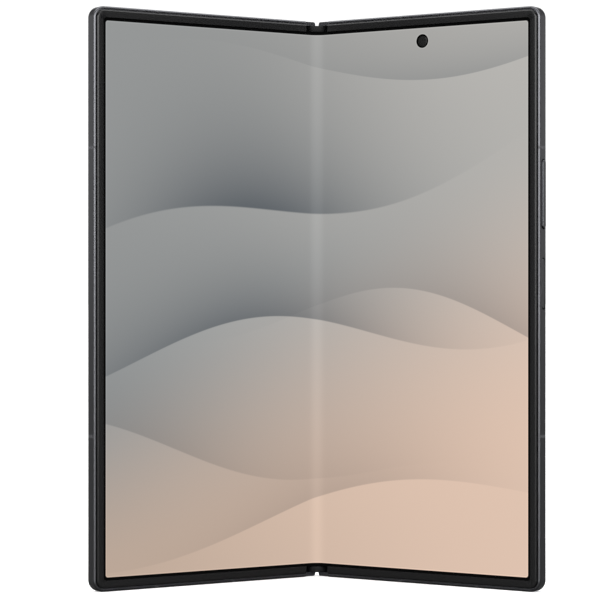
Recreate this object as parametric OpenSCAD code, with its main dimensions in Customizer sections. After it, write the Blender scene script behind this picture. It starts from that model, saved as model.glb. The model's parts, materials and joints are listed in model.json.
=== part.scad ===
// Foldable smartphone, half open and standing on its lower edge.
// Every piece of a half is drawn as the right half lies flat: X runs from the fold
// to the outer edge, Y from the screen side to the back, and Z up along the fold.
// right_pose() and left_pose() then turn it to its place in the open book.

/* [Body] */
// Height of each half, along the fold
body_h = 158.4; // [150:0.1:166]
// Width of each half when the phone lies flat
half_w = 71.9; // [69:0.1:76]
// Thickness of each half
half_t = 4.2; // [4.2:0.05:4.6]
// Radius of the outer corners
corner_r = 3.2; // [3.2:0.1:4.5]
// Angle of each half, away from lying flat
rest_tilt = 33; // [20:1:45]
// Space between the two bezels when the phone is shut
closed_gap = 0.5; // [0.4:0.05:0.7]

/* [Frame] */
// Width of the metal rim, inwards from the outer face
rim_w = 1.6; // [1.5:0.05:1.9]
// Width of the rim's thin lip on the screen side
lip_w = 0.55; // [0.5:0.01:0.6]
// Depth of the lip's top behind the bezel's top
lip_drop = 0.25; // [0.15:0.01:0.35]
// Radius of the rim's edge on the screen side
front_round = 0.5; // [0.4:0.01:0.5]
// Radius of the rim's edge at the back
back_round = 0.8; // [0.5:0.05:1]
// Thickness of the plate that the screen lies on
mid_t = 0.5; // [0.4:0.05:0.6]
// Thickness of the frame's end walls over the spine
end_wall = 1.1; // [0.9:0.05:1.2]
// Half of the gap between the two frames when the phone lies flat
fold_gap = 0.1; // [0.05:0.01:0.2]
// Radius of the notch corners between the frames
notch_round = 0.5; // [0.3:0.05:0.8]
// Distance from the fold to the inner face of the hinge rail
rail_in = 5.5; // [5.3:0.05:6]

/* [Screen] */
// Depth of the screen's face behind the bezel's top
screen_drop = 0.35; // [0.3:0.01:0.4]
// Thickness of the screen
screen_t = 0.6; // [0.5:0.05:0.65]
// Thickness of the bending strip of the screen
fold_screen_t = 0.5; // [0.3:0.05:0.5]
// Half width of the bending strip when it is flat
fold_half = 4.0; // [3.9:0.05:4.4]
// Radius of the screen's face in the fold
fold_r = 4.0; // [3:0.1:4.5]
// Gap between the rim's lip and the bezel
groove_w = 0.4; // [0.3:0.05:0.5]
// Distance from the outer face to the bezel's inner edge
bezel_in = 3.05; // [2.8:0.05:3.3]
// Radius of the bezel's outer edge
bezel_round = 0.5; // [0.3:0.05:0.55]
// Distance from the fold to the end of each bezel
bezel_end = 3.95; // [3.8:0.05:3.95]
// Distance from the outer face to the screen's hidden edge
screen_edge = 2.05; // [1.9:0.05:2.3]
// Radius of the hole for the inner camera
punch_r = 1.9; // [1.6:0.05:2.2]
// Distance of the inner camera from the fold
punch_x = 35.1; // [30:0.1:40]
// Distance of the inner camera from the top
punch_top = 7.5; // [6.5:0.1:9]

/* [Hinge] */
// Depth of the fold axes behind the bezel's top
axis_depth = 1.0; // [0.95:0.01:1.05]
// Thickness of the frame's rear strip over the spine
overhang_t = 0.65; // [0.5:0.05:0.7]
// Gap between the spine and the frames
spine_gap = 0.1; // [0.08:0.01:0.15]
// Wall of the spine cover
spine_wall = 0.3; // [0.25:0.01:0.35]
// Gap between the spine's ends and the frame's end walls
spine_end_gap = 0.05; // [0.03:0.01:0.1]
// Depth of the spine cover's side walls behind the bezel's top
wall_front = 1.35; // [1.3:0.01:1.5]
// Height of each of the two hinge modules
module_h = 14; // [13.5:0.5:18]
// Distance of the hinge modules from the body's ends
module_end = 14; // [12:0.5:20]
// Width of each hinge arm, along the fold
arm_w = 5; // [4:0.1:5.5]
// Middle radius of the arms' curved rails
arc_r = 1.55; // [1.5:0.01:1.6]
// Thickness of the arms' curved rails
arc_t = 0.7; // [0.6:0.01:0.75]
// Angle at which a curved rail starts, past the fold axis
arc_start = 33; // [30:1:36]
// Angle that a curved rail covers
arc_span = 117; // [100:1:120]
// Depth of the arms' plates behind the bezel's top
arm_y = 1.85; // [1.8:0.01:1.9]
// Thickness of the arms' plates
arm_t = 0.4; // [0.3:0.01:0.45]
// Distance from the fold to the end of the arms' plates
arm_end = 13; // [12:0.1:16]
// Running clearance in the hinge
hinge_clear = 0.05; // [0.03:0.01:0.06]
// Thickness of the wing plates under the fold
wing_t = 0.24; // [0.2:0.01:0.26]
// Distance from the fold to the wing plates' pivots
wing_pivot = 4.85; // [4.8:0.01:4.9]
// How far a wing plate sinks for each degree of fold
wing_ratio = 0.155; // [0.1:0.005:0.16]
// Distance of the wing plates' ends from the body's ends
wing_end = 5.2; // [5.2:0.1:8]

/* [Gears] */
// Pitch radius of the four synchronising gears
gear_r = 0.7; // [0.68:0.005:0.72]
// Number of teeth on each gear
gear_teeth = 10; // [8:2:10]
// Height of a tooth above the pitch circle
tooth_up = 0.12; // [0.08:0.01:0.13]
// Depth of a tooth below the pitch circle
tooth_down = 0.17; // [0.15:0.01:0.2]
// Width of a tooth on the pitch circle, as a share of a half pitch
tooth_share = 0.82; // [0.6:0.01:0.86]
// Depth of the gear axes behind the bezel's top
gear_y = 2.0; // [1.98:0.01:2.05]
// Width of each gear, along the fold
gear_w = 3.6; // [3:0.1:4]
// Radius of the gear shafts
shaft_r = 0.25; // [0.2:0.01:0.28]
// Running clearance of the gears on their shafts
shaft_clear = 0.03; // [0.02:0.005:0.04]
// Distance from the fold to the tip of a synchronising arm
sync_tip = 7.0; // [6.5:0.1:7.5]
// Thickness of a synchronising arm's blade
blade_t = 0.3; // [0.25:0.01:0.35]

/* [Back] */
// Thickness of the two outer glasses
glass_t = 0.4; // [0.35:0.01:0.45]
// Distance from the outer face to the edge of the outer glasses
glass_edge = 1.15; // [1:0.05:1.3]
// Gap around the outer glasses
glass_gap = 0.05; // [0.03:0.01:0.1]
// Distance from the outer face to the line of rear cameras
camera_in = 12.6; // [12:0.1:16]
// Distance from the top to the first rear camera
camera_top = 14.6; // [14:0.1:20]
// Distance between the rear cameras
camera_pitch = 17.2; // [16.8:0.1:19]
// Outer radius of the rear camera rings
ring_r = 7.4; // [7:0.1:8]
// Height of the raised camera plate
plate_h = 0.9; // [0.6:0.05:1.2]
// Height of the camera rings over the plate
ring_h = 1.1; // [0.8:0.05:1.5]
// Radius of the rear camera windows
lens_r = 5.9; // [5.4:0.1:6.2]
// Radius of the flash window
flash_r = 1.9; // [1.5:0.1:2.2]
// Margin of the camera plate around the rings
plate_margin = 1.2; // [0.8:0.1:2]

/* [Keys and ports] */
// Length of the volume key
rocker_l = 18.5; // [16:0.1:21]
// Distance from the top to the volume key
rocker_top = 41.6; // [40.6:0.1:44]
// How far the volume key stands out
rocker_out = 0.37; // [0.15:0.01:0.4]
// Length of the side key
side_key_l = 13.5; // [12:0.1:15]
// Distance from the top to the side key
side_key_top = 68.3; // [68:0.1:74]
// Width of both keys
key_w = 1.9; // [1.6:0.05:2]
// Gap around the keys
key_gap = 0.1; // [0.08:0.01:0.12]
// Distance from the outer face to the keys' inner flanges
key_flange_in = 1.9; // [1.9:0.01:2.1]
// Width of the opening of the port
port_w = 8.34; // [8.3:0.01:8.4]
// Height of the opening of the port
port_h = 2.56; // [2.5:0.01:2.6]
// Wall of the port's shell
port_wall = 0.11; // [0.1:0.01:0.12]
// Depth of the port's shell
port_l = 7.2; // [6.5:0.1:8]
// Height of the antenna gaps in the rim
antenna_w = 0.7; // [0.5:0.05:1]
// Depth of the antenna gaps from the outer face
antenna_in = 1.1; // [0.9:0.01:1.12]
// Distance from the top to the upper antenna gaps
antenna_top = 38.3; // [37:0.1:39.5]
// Distance from the top to the lower antenna gaps
antenna_low = 116.3; // [112:0.1:120]
// Distance from the fold to the inner antenna gaps in the ends
antenna_near = 28; // [27:0.1:29]
// Distance from the outer face to the outer antenna gaps in the ends
antenna_far = 19.6; // [19.4:0.1:20.4]
// Width of the card tray's face
tray_w = 12.6; // [12:0.1:14]
// Thickness of the card tray's face
tray_face_t = 1.6; // [1.4:0.05:1.8]
// Distance from the outer face to the middle of the card tray
tray_in = 11.6; // [11.4:0.1:12.2]
// Length of the card tray
tray_l = 15.5; // [14:0.1:17]
// Distance from the fold to the earpiece
earpiece_x = 24; // [20:0.5:28]

/* [Inside] */
// Gap around the boards and cells inside
part_gap = 0.5; // [0.3:0.05:0.8]
// Height of the right battery cell, along the fold
battery_h = 60; // [50:0.5:62]
// How much higher the left battery cell is
battery_more = 14; // [10:0.5:15]
// Distance from the bottom to the battery cells
battery_low = 32; // [31:0.5:36]
// Thickness of the circuit boards
board_t = 0.6; // [0.5:0.05:0.7]
// Height of the chips' metal covers
shield_h = 0.9; // [0.7:0.05:1]
// Outer radius of the charging coil
coil_r = 22; // [18:0.5:24]
// Inner radius of the charging coil
coil_in_r = 11; // [9:0.5:13]
// Thickness of the charging coil
coil_t = 0.25; // [0.2:0.01:0.3]
// Thickness of the outer screen's panel
cover_panel_t = 0.5; // [0.4:0.05:0.6]
// Radius of the hole for the outer camera
cover_punch_r = 1.7; // [1.5:0.05:2]
// Width of the ribbon cable across the hinge
flex_w = 14; // [10:0.5:16]
// Thickness of the ribbon cable
flex_t = 0.12; // [0.1:0.01:0.15]
// Distance from the bottom to the ribbon cable
flex_low = 44; // [40:0.5:48]
// Distance from the bottom to the first magnet
magnet_low = 19; // [12:0.5:22]
// Distance between the magnets
magnet_pitch = 22; // [18:0.5:24]
// Length of the magnets
magnet_l = 7; // [5:0.5:9]
// Radius of the hinge screws' heads
screw_head_r = 0.8; // [0.7:0.05:0.9]
// Radius of the hinge screws' shanks
screw_r = 0.45; // [0.4:0.01:0.5]

/* [Hidden] */
$fn = 48;

// Colours of the finishes
metal_dark = [0.20, 0.21, 0.24];
metal_bright = [0.62, 0.63, 0.65];
plastic_dark = [0.05, 0.05, 0.06];
screen_grey = [0.55, 0.55, 0.57];
screen_peach = [0.74, 0.70, 0.68];
glass_dark = [0.09, 0.10, 0.13];
board_green = [0.08, 0.20, 0.16];
copper = [0.72, 0.45, 0.25];
cell_grey = [0.30, 0.31, 0.33];
band_grey = [0.27, 0.28, 0.31];

// How far a cut reaches past what it cuts, and how far joined shapes run into each other
cut = 1;
bite = 0.1;
sliver = 0.01;
// Gap between layers that lie on each other
layer_gap = 0.05;

// Depths of the layers, from the bezel's top
seat_y = screen_drop + screen_t;
mid_back = seat_y + mid_t;
glass_y = half_t - glass_t;

// The fold axes and the spine
axis_x = axis_depth + closed_gap / 2;
spine_r = half_t - axis_depth - overhang_t - spine_gap;
pocket_r = spine_r + spine_gap;
spine_low = end_wall + spine_end_gap;
spine_h = body_h - 2 * spine_low;
inner_r = spine_r - spine_wall;
base_r = inner_r - hinge_clear;
cap_gap = 0.65;
cap_r = bezel_end - axis_x - cap_gap;
cap_sink = 0.1;
cap_front = screen_drop + cap_sink;
strip_lap = 0.15;
strip_edge = bezel_in - strip_lap;
cap_h = strip_edge - end_wall - 2 * spine_end_gap;
plug_gap = 0.2;
cap_plug_h = wing_end - plug_gap - spine_low;
cap_plug_front = 1.6;
base_front = wall_front + hinge_clear;
arm_back = arm_y + arm_t;
notch_clear = 0.15;
notch_y = arm_back + notch_clear;
notch_side = 0.2;
flex_room = 0.5;
flex_slot = 0.25;
flex_slot_side = 0.3;

// The front recess beside the fold, where the end walls sit lower
recess_y = 1.3;
rail_front = 1.6;
rail_step = 0.4;
wing_room = 0.25;
mid_start = wing_pivot + wing_room;
wing_sink = 0.17;
wing_y = seat_y + wing_sink;
wing_bead_r = 0.16;
wing_in = 0.15;
wing_web = 0.55;
wing_notch_x = wing_pivot - wing_web;
wing_notch_side = 0.4;

// Placing of the whole phone: the middle of its outline lies on the origin
sin_t = sin(rest_tilt);
cos_t = cos(rest_tilt);
lip_y = lip_drop + front_round;
out_front = axis_depth - (half_w - front_round - axis_x) * sin_t
    + (lip_y - axis_depth) * cos_t - front_round;
out_back = axis_depth + (axis_x - fold_gap) * sin_t + (half_t - axis_depth) * cos_t;
centre_y = -(out_front + out_back) / 2;

// The inner camera
punch_z = body_h - punch_top;
punch_room = 0.15;
punch_body = 0.6;
punch_sink = 0.03;
punch_back = 0.3;

// Inside room of a half
room_out = half_w - rim_w;
key_room_in = 3.6;
key_room = half_w - key_room_in;
part_y = mid_back + layer_gap;

// Gear train: outer gears turn with the halves, idlers lie between them
gear_x = 3 * gear_r;
idler_x = gear_r;
gear_mid = body_h / 2;
gear_step = 360 / gear_teeth;
gear_plate_t = 1.5;
gear_end_gap = 0.2;
gear_side = gear_w / 2 + gear_end_gap;
gear_back_gap = 0.08;
blade_shift = 0.1;
blade_room = 0.5;
blade_side = 0.15;
spring_l = 2.0;
spring_in = 0.1;
spring_plate_t = 1.0;
gear_base_low = gear_mid - gear_side - gear_plate_t;
gear_base_top = gear_mid + gear_side + gear_plate_t + spring_l + spring_plate_t;

// Heights of the arms in a hinge module, measured from its lower end
arm_margin = 1.0;
right_arm_low = arm_margin;
left_arm_low = module_h - arm_w - arm_margin;
arm_neck = 0.9;
arm_room_back = 0.1;
arm_side = 0.15;

// Screws that hold the arms' plates
screw_in = 1.6;
screw_pitch = 3.6;
screw_head_t = 0.3;
screw_bite = 0.2;
screw_hole_gap = 0.02;
screw_arm_gap = 0.08;
boss_r = 1.4;

// Camera column on the back
camera_x = half_w - camera_in;
camera_z = [for (i = [0:2]) body_h - camera_top - i * camera_pitch];
flash_gap = 1.6;
flash_x = camera_x - ring_r - plate_margin - flash_r - flash_gap;
flash_sink = 0.02;
flash_t = 0.4;
plate_y = half_t + plate_h;
ring_y = plate_y + ring_h;
ring_neck_t = 0.45;
ring_hole_r = lens_r + ring_neck_t + layer_gap;
ring_seat_w = 0.6;
window_drop = 0.6;
window_sink = 0.15;
window_gap = 0.03;
module_side = 9.0;
module_cover = 0.2;
module_lens_in = 1.6;

// Keys and ports
key_shift = 0.1;
key_y = (lip_y + half_t - back_round) / 2 + key_shift;
side_key_sink = 0.02;
key_flange_t = 0.3;
key_flange_lap = 0.2;
key_flange_w = key_w + 2 * key_flange_lap;
key_flange_over = 1.0;
key_room_end = 0.5;
switch_gap = 0.35;
switch_strip_t = 0.25;
switch_strip_w = 2;
switch_r = 0.8;
switch_out = 0.1;
rocker_z = body_h - rocker_top - rocker_l / 2;
side_key_z = body_h - side_key_top - side_key_l / 2;
port_lift = 0.03;
port_x = half_w / 2;
port_y = seat_y + port_lift + port_wall + port_h / 2;
port_sink = 0.25;
port_gap = 0.02;
port_back_t = 0.5;
port_top = port_sink + port_l;
port_room = 0.4;
tongue_w = 6.69;
tongue_t = 0.7;
tongue_l = 4.45;
tray_shift = 0.15;
tray_x = half_w - tray_in;
tray_y = half_t / 2 + tray_shift;
tray_t = 0.8;
tray_gap = 0.08;
tray_side = 0.2;
tray_bar = 1.4;
tray_end_bar = 1.2;
tray_hole_r = 0.45;
tray_hole_l = 3;
tray_sink = 0.03;
antenna_x = [antenna_near, half_w - antenna_far];
speaker_hole_r = 0.55;
speaker_holes = 6;
speaker_pitch = 1.9;
speaker_gap = 2;
speaker_x = antenna_x[1] + speaker_gap;
speaker_side = 2;
speaker_l = 12;
mic_r = 0.4;
mic_gap = 6;
mic_x = port_x - port_w / 2 - mic_gap;
motor_w = 11.8;
motor_l = 8.6;
motor_gap = 1.2;

// Outlines and helpers

// Points of a quarter round, from angle a to angle b
function arc_points(cx, cy, r, a, b, n = 6) =
    [for (i = [0:n]) [cx + r * cos(a + (b - a) * i / n), cy + r * sin(a + (b - a) * i / n)]];

// Section of the rim: first value is the distance in from the outer face, second the depth
function rim_section(inner) = concat(
    arc_points(front_round, lip_y, front_round, 180, 270),
    [[lip_w, lip_drop], [lip_w, seat_y], [inner, seat_y]],
    inner > glass_edge
        ? [[inner, glass_y], [glass_edge, glass_y], [glass_edge, half_t]]
        : [[inner, half_t]],
    arc_points(back_round, half_t - back_round, back_round, 90, 180)
);

bezel_out = lip_w + groove_w;
bezel_bevel = 0.1;
screen_gap = 0.02;
bezel_section = concat(
    [[bezel_out, seat_y]],
    arc_points(bezel_out + bezel_round, bezel_round, bezel_round, 180, 270),
    [[bezel_in - bezel_bevel, 0], [bezel_in, bezel_bevel], [bezel_in, screen_drop - screen_gap],
     [screen_edge - layer_gap, screen_drop - screen_gap], [screen_edge - layer_gap, seat_y]]
);

module right_pose() {
    translate([axis_x, axis_depth + centre_y, 0])
        rotate([0, 0, -rest_tilt])
            translate([-axis_x, -axis_depth, 0])
                children();
}

module left_pose() {
    mirror([1, 0, 0])
        right_pose()
            children();
}

module spine_pose() {
    translate([0, centre_y, 0])
        children();
}

// The shape and its mirror image at the other end of the body
module both_ends() {
    children();
    translate([0, 0, body_h])
        mirror([0, 0, 1])
            children();
}

// The shape and its mirror image on the other side of the fold
module both_sides() {
    children();
    mirror([1, 0, 0])
        children();
}

// A block given by its two opposite corners
module block(low, high) {
    translate(low)
        cube(high - low);
}

// A round bar along Y, through the thickness
module y_bar(x, z, r, y_from, y_to) {
    translate([x, y_from, z])
        rotate([-90, 0, 0])
            cylinder(h = y_to - y_from, r = r);
}

// A section carried round the bottom, the outer side and the top of a half
module round_rim(section, start) {
    translate([0, 0, corner_r])
        linear_extrude(height = body_h - 2 * corner_r)
            polygon([for (p = section) [half_w - p[0], p[1]]]);
    both_ends() {
        translate([half_w - corner_r, 0, 0])
            rotate([0, -90, 0])
                linear_extrude(height = half_w - corner_r - start)
                    polygon(section);
        translate([half_w - corner_r, 0, corner_r])
            rotate([-90, 0, 0])
                rotate_extrude(angle = 90)
                    polygon([for (p = section) [max(corner_r - p[0], 0), p[1]]]);
    }
}

// A sheet with the outer corners of a half, set in by edge from the outer faces
module sheet(start, edge, y_from, y_to) {
    r = corner_r - edge;
    block([start, y_from, edge], [half_w - corner_r, y_to, body_h - edge]);
    block([half_w - corner_r - sliver, y_from, corner_r],
          [half_w - edge, y_to, body_h - corner_r]);
    both_ends()
        intersection() {
            y_bar(half_w - corner_r, corner_r, r, y_from, y_to);
            block([half_w - corner_r - sliver, y_from - cut, 0],
                  [half_w, y_to + cut, corner_r + sliver]);
        }
}

// The slab of a half that the two hinge axes sweep clear, between two heights
module stadium(r, low, high) {
    both_sides()
        translate([axis_x, axis_depth, low])
            cylinder(h = high - low, r = r);
    block([-axis_x, axis_depth - r, low], [axis_x, axis_depth + r, high]);
}

// Everything in front of a depth, for cutting
module in_front_of(y) {
    block([-half_w, -half_w, -cut], [half_w, y, body_h + cut]);
}

// Heights at which the arms, the gears and the ribbon cable leave the spine
function opening_spans() = [
    [module_end, module_end + module_h],
    [body_h - module_end - module_h, body_h - module_end],
    [gear_base_low, gear_base_top],
    [flex_low - flex_room, flex_low + flex_w + flex_room]
];

// Spine of the hinge

module spine_cover() {
    color(metal_dark)
        spine_pose()
            difference() {
                stadium(spine_r, spine_low, spine_low + spine_h);
                stadium(inner_r, spine_low - cut, spine_low + spine_h + cut);
                in_front_of(wall_front);
                for (span = opening_spans())
                    block([-spine_r - axis_x - cut, 0, span[0] - notch_side],
                          [spine_r + axis_x + cut, notch_y, span[1] + notch_side]);
            }
}

module spine_end_cap() {
    color(plastic_dark)
        spine_pose()
            union() {
                difference() {
                    stadium(cap_r, spine_low, spine_low + cap_h);
                    in_front_of(cap_front);
                }
                difference() {
                    stadium(base_r, spine_low, spine_low + cap_plug_h);
                    in_front_of(cap_plug_front);
                }
            }
}

module spine_end_cap_bottom() {
    spine_end_cap();
}

module spine_end_cap_top() {
    translate([0, 0, body_h])
        mirror([0, 0, 1])
            spine_end_cap();
}

// The room that one arm and its curved rail need while the half turns
module arm_room(low) {
    translate([axis_x, axis_depth, low - hinge_clear])
        difference() {
            cylinder(h = arm_w + 2 * hinge_clear, r = arc_r + arc_t / 2 + hinge_clear);
            translate([0, 0, -cut])
                cylinder(h = arm_w + 2 * cut, r = arc_r - arc_t / 2 - hinge_clear);
        }
    block([axis_x + arm_neck, 0, low - hinge_clear],
          [axis_x + spine_r + cut, arm_back + arm_room_back, low + arm_w + hinge_clear]);
}

// Block that guides the curved rails, drawn for the lower module
module hinge_base() {
    color(metal_bright)
        spine_pose()
            difference() {
                stadium(base_r, module_end, module_end + module_h);
                in_front_of(base_front);
                arm_room(module_end + right_arm_low);
                mirror([1, 0, 0])
                    arm_room(module_end + left_arm_low);
            }
}

module hinge_base_bottom() {
    hinge_base();
}

// The upper module is the lower one moved up, so both have their right arm lower down
module hinge_base_top() {
    translate([0, 0, body_h - 2 * module_end - module_h])
        hinge_base();
}

// Positions of the four gears across the spine
gear_places = [-gear_x, -idler_x, idler_x, gear_x];

module gear_base() {
    color(metal_bright)
        spine_pose()
            difference() {
                union() {
                    for (span = [[gear_base_low, gear_base_low + gear_plate_t],
                                 [gear_mid + gear_side, gear_mid + gear_side + gear_plate_t],
                                 [gear_base_top - spring_plate_t, gear_base_top]])
                        difference() {
                            stadium(base_r, span[0], span[1]);
                            in_front_of(base_front);
                        }
                    block([-axis_x, gear_y + gear_r + tooth_up + gear_back_gap, gear_base_low],
                          [axis_x, axis_depth + base_r, gear_base_top]);
                }
                for (x = gear_places)
                    translate([x, gear_y, gear_base_low - cut])
                        cylinder(h = gear_base_top - gear_base_low + 2 * cut,
                                 r = shaft_r + shaft_clear / 2);
            }
}

module gear_shafts() {
    color(metal_bright)
        spine_pose()
            for (x = gear_places)
                translate([x, gear_y, gear_base_low])
                    cylinder(h = gear_base_top - gear_base_low, r = shaft_r);
}

module disc_springs() {
    color(copper)
        spine_pose()
            for (x = gear_places)
                translate([x, gear_y, gear_mid + gear_side + gear_plate_t])
                    difference() {
                        cylinder(h = spring_l, r = gear_r - spring_in);
                        translate([0, 0, -cut])
                            cylinder(h = spring_l + 2 * cut, r = shaft_r + shaft_clear);
                    }
}

// Outline of a gear whose first tooth points along +X
tooth_half = 90 / gear_teeth * tooth_share;
function gear_outline() = [
    for (i = [0:gear_teeth - 1])
        for (p = [[gear_r - tooth_down, -1.35], [gear_r, -1], [gear_r + tooth_up, -0.4],
                  [gear_r + tooth_up, 0.4], [gear_r, 1], [gear_r - tooth_down, 1.35]])
            p[0] * [cos(i * gear_step + p[1] * tooth_half), sin(i * gear_step + p[1] * tooth_half)]
];

// A gear on its shaft, turned by angle from having a tooth along +X
module gear(angle) {
    rotate([0, 0, angle])
        difference() {
            translate([0, 0, gear_mid - gear_w / 2])
                linear_extrude(height = gear_w)
                    polygon(gear_outline());
            translate([0, 0, gear_mid - gear_w])
                cylinder(h = 2 * gear_w, r = shaft_r + shaft_clear);
        }
}

// Gear with a blade that reaches into the half beside it
module sync_arm(tooth_turn) {
    translate([gear_x, gear_y, 0])
        rotate([0, 0, -rest_tilt]) {
            gear(tooth_turn);
            block([gear_r - tooth_down, -blade_t / 2 - blade_shift, gear_mid - gear_w / 2],
                  [sync_tip - gear_x, blade_t / 2 - blade_shift, gear_mid + gear_w / 2]);
        }
}

module right_sync_arm() {
    color(metal_bright)
        spine_pose()
            sync_arm(0);
}

module left_sync_arm() {
    color(metal_bright)
        spine_pose()
            mirror([1, 0, 0])
                sync_arm(gear_step / 2);
}

module right_idler_gear() {
    color(copper)
        spine_pose()
            translate([idler_x, gear_y, 0])
                gear(gear_step / 2 + rest_tilt);
}

module left_idler_gear() {
    color(copper)
        spine_pose()
            translate([-idler_x, gear_y, 0])
                gear(-rest_tilt);
}

// Where the straight part of the bending strip ends and its round part begins
strip_end_x = axis_x + (fold_half - axis_x) * cos_t + (screen_drop - axis_depth) * sin_t;
strip_end_y = axis_depth - (fold_half - axis_x) * sin_t + (screen_drop - axis_depth) * cos_t;
strip_start = fold_half - (strip_end_x - fold_r * sin_t) / cos_t;
strip_centre_y = strip_end_y + (fold_half - strip_start) * sin_t - fold_r * cos_t;

module inner_display_fold() {
    color(screen_grey)
        union() {
            translate([0, strip_centre_y + centre_y, strip_edge])
                rotate([0, 0, 90 - rest_tilt])
                    rotate_extrude(angle = 2 * rest_tilt)
                        translate([fold_r, 0])
                            square([fold_screen_t, body_h - 2 * strip_edge]);
            both_sides()
                right_pose()
                    block([strip_start, screen_drop, strip_edge],
                          [fold_half, screen_drop + fold_screen_t, body_h - strip_edge]);
        }
}

// Middle line of the ribbon cable at rest, from the spine's centre to the right half
flex_y = arm_y + arm_t / 2;
flex_floor = 0.25;
flex_low_y = axis_depth + inner_r - flex_floor;
flex_end = 9;
flex_flat = 4.6;
flex_turn = [3.0, -0.2, 0.5];
flex_bottom = 1.6;
function in_rest(x, y) = [
    axis_x + (x - axis_x) * cos_t + (y - axis_depth) * sin_t,
    axis_depth - (x - axis_x) * sin_t + (y - axis_depth) * cos_t
];
function curve_point(p, t) =
    p[0] * pow(1 - t, 3) + 3 * p[1] * pow(1 - t, 2) * t + 3 * p[2] * (1 - t) * t * t + p[3] * t * t * t;
flex_handles = [
    [0, flex_low_y],
    [flex_bottom, flex_low_y],
    in_rest(flex_turn[0], flex_y) + [flex_turn[1], flex_turn[2]],
    in_rest(flex_flat, flex_y)
];
flex_half = concat(
    [for (i = [0:8]) curve_point(flex_handles, i / 8)],
    [in_rest(flex_end, flex_y)]
);
flex_line = concat(
    [for (i = [len(flex_half) - 1:-1:1]) [-flex_half[i][0], flex_half[i][1]]],
    flex_half
);
// Side step from the line, square to the stretch around point i
function side_step(line, i) =
    let (a = line[max(i - 1, 0)], b = line[min(i + 1, len(line) - 1)], d = b - a)
    [-d[1], d[0]] / norm(d) * flex_t / 2;

module hinge_flex_cable() {
    color(copper)
        spine_pose()
            translate([0, 0, flex_low])
                linear_extrude(height = flex_w)
                    polygon(concat(
                        [for (i = [0:len(flex_line) - 1]) flex_line[i] + side_step(flex_line, i)],
                        [for (i = [len(flex_line) - 1:-1:0]) flex_line[i] - side_step(flex_line, i)]
                    ));
}

// Pieces that both halves have, drawn flat

// Heights of the lower ends of a half's two arms
function arm_lows(first) = [module_end + first, body_h - module_end - module_h + first];

// Screws of a half's arms: distance from the fold and height
function screw_places(first) = [
    for (low = arm_lows(first))
        for (x = [arm_end - screw_in, arm_end - screw_in - screw_pitch])
            [x, low + arm_w / 2]
];

module antenna_cuts() {
    for (top = [antenna_top, antenna_low])
        block([half_w - antenna_in, -cut, body_h - top - antenna_w / 2],
              [half_w + cut, half_t + cut, body_h - top + antenna_w / 2]);
    both_ends()
        for (x = antenna_x)
            block([x - antenna_w / 2, -cut, -cut], [x + antenna_w / 2, half_t + cut, antenna_in]);
}

module antenna_bands() {
    for (top = [antenna_top, antenna_low])
        translate([0, 0, body_h - top - antenna_w / 2])
            linear_extrude(height = antenna_w)
                polygon([for (p = rim_section(antenna_in)) [half_w - p[0], p[1]]]);
    both_ends()
        for (x = antenna_x)
            translate([x + antenna_w / 2, 0, 0])
                rotate([0, -90, 0])
                    linear_extrude(height = antenna_w)
                        polygon(rim_section(antenna_in));
}

// Rim, middle plate and hinge rail in one piece, before a half's own openings
module half_frame(first) {
    difference() {
        union() {
            round_rim(rim_section(rim_w), fold_gap);
            block([mid_start, seat_y, rim_w - bite],
                  [half_w - rim_w + bite, mid_back, body_h - rim_w + bite]);
            block([mid_start, seat_y, rim_w - bite],
                  [rail_in, rail_front, body_h - rim_w + bite]);
            block([fold_gap, rail_front, rim_w - bite], [rail_in, half_t, body_h - rim_w + bite]);
            block([fold_gap, glass_y - bite, glass_edge - 2 * bite],
                  [rail_in, half_t, body_h - glass_edge + 2 * bite]);
            for (p = screw_places(first))
                y_bar(p[0], p[1], boss_r, mid_back - bite, arm_y);
        }
        // Room for the spine, and for the bezels' ends in front of it
        translate([axis_x, axis_depth, end_wall])
            cylinder(h = body_h - 2 * end_wall, r = pocket_r);
        block([-cut, -cut, end_wall], [axis_x, axis_depth + pocket_r, body_h - end_wall]);
        block([-cut, -cut, end_wall], [rail_in - rail_step, rail_front, body_h - end_wall]);
        both_ends()
            block([-cut, -cut, -cut], [bezel_end, recess_y, rim_w + cut]);
        // Rounded corners of the notch between the halves
        both_ends()
            difference() {
                block([fold_gap - cut, -cut, -cut],
                      [fold_gap + notch_round, half_t + cut, notch_round]);
                y_bar(fold_gap + notch_round, notch_round, notch_round,
                      -2 * cut, half_t + 2 * cut);
            }
        for (p = screw_places(first))
            y_bar(p[0], p[1], screw_r + screw_hole_gap, seat_y - cut, arm_y + cut);
        for (low = arm_lows(first))
            block([0, arm_y - arm_room_back, low - arm_side],
                  [rail_in + cut, arm_back + arm_room_back, low + arm_w + arm_side]);
        block([0, gear_y - blade_room, gear_mid - gear_w / 2 - blade_side],
              [rail_in + cut, gear_y + blade_room, gear_mid + gear_w / 2 + blade_side]);
        block([0, flex_y - flex_slot, flex_low - flex_slot_side],
              [rail_in + cut, flex_y + flex_slot, flex_low + flex_w + flex_slot_side]);
        antenna_cuts();
    }
}

module bezel() {
    round_rim(bezel_section, bezel_end);
}

module display_panel() {
    sheet(fold_half, screen_edge, screen_drop, seat_y);
}

// Curved rail about the fold axis, with the plate that reaches into the half
module arm_section() {
    reach = 4 * arc_r;
    translate([axis_x, axis_depth])
        intersection() {
            difference() {
                circle(r = arc_r + arc_t / 2);
                circle(r = arc_r - arc_t / 2);
            }
            polygon([[0, 0], reach * [cos(arc_start), sin(arc_start)], [reach, reach], [-reach, reach],
                     reach * [cos(arc_start + arc_span), sin(arc_start + arc_span)]]);
        }
    translate([axis_x + arm_neck + layer_gap, arm_y])
        square([arm_end - axis_x - arm_neck - layer_gap, arm_t]);
}

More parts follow.
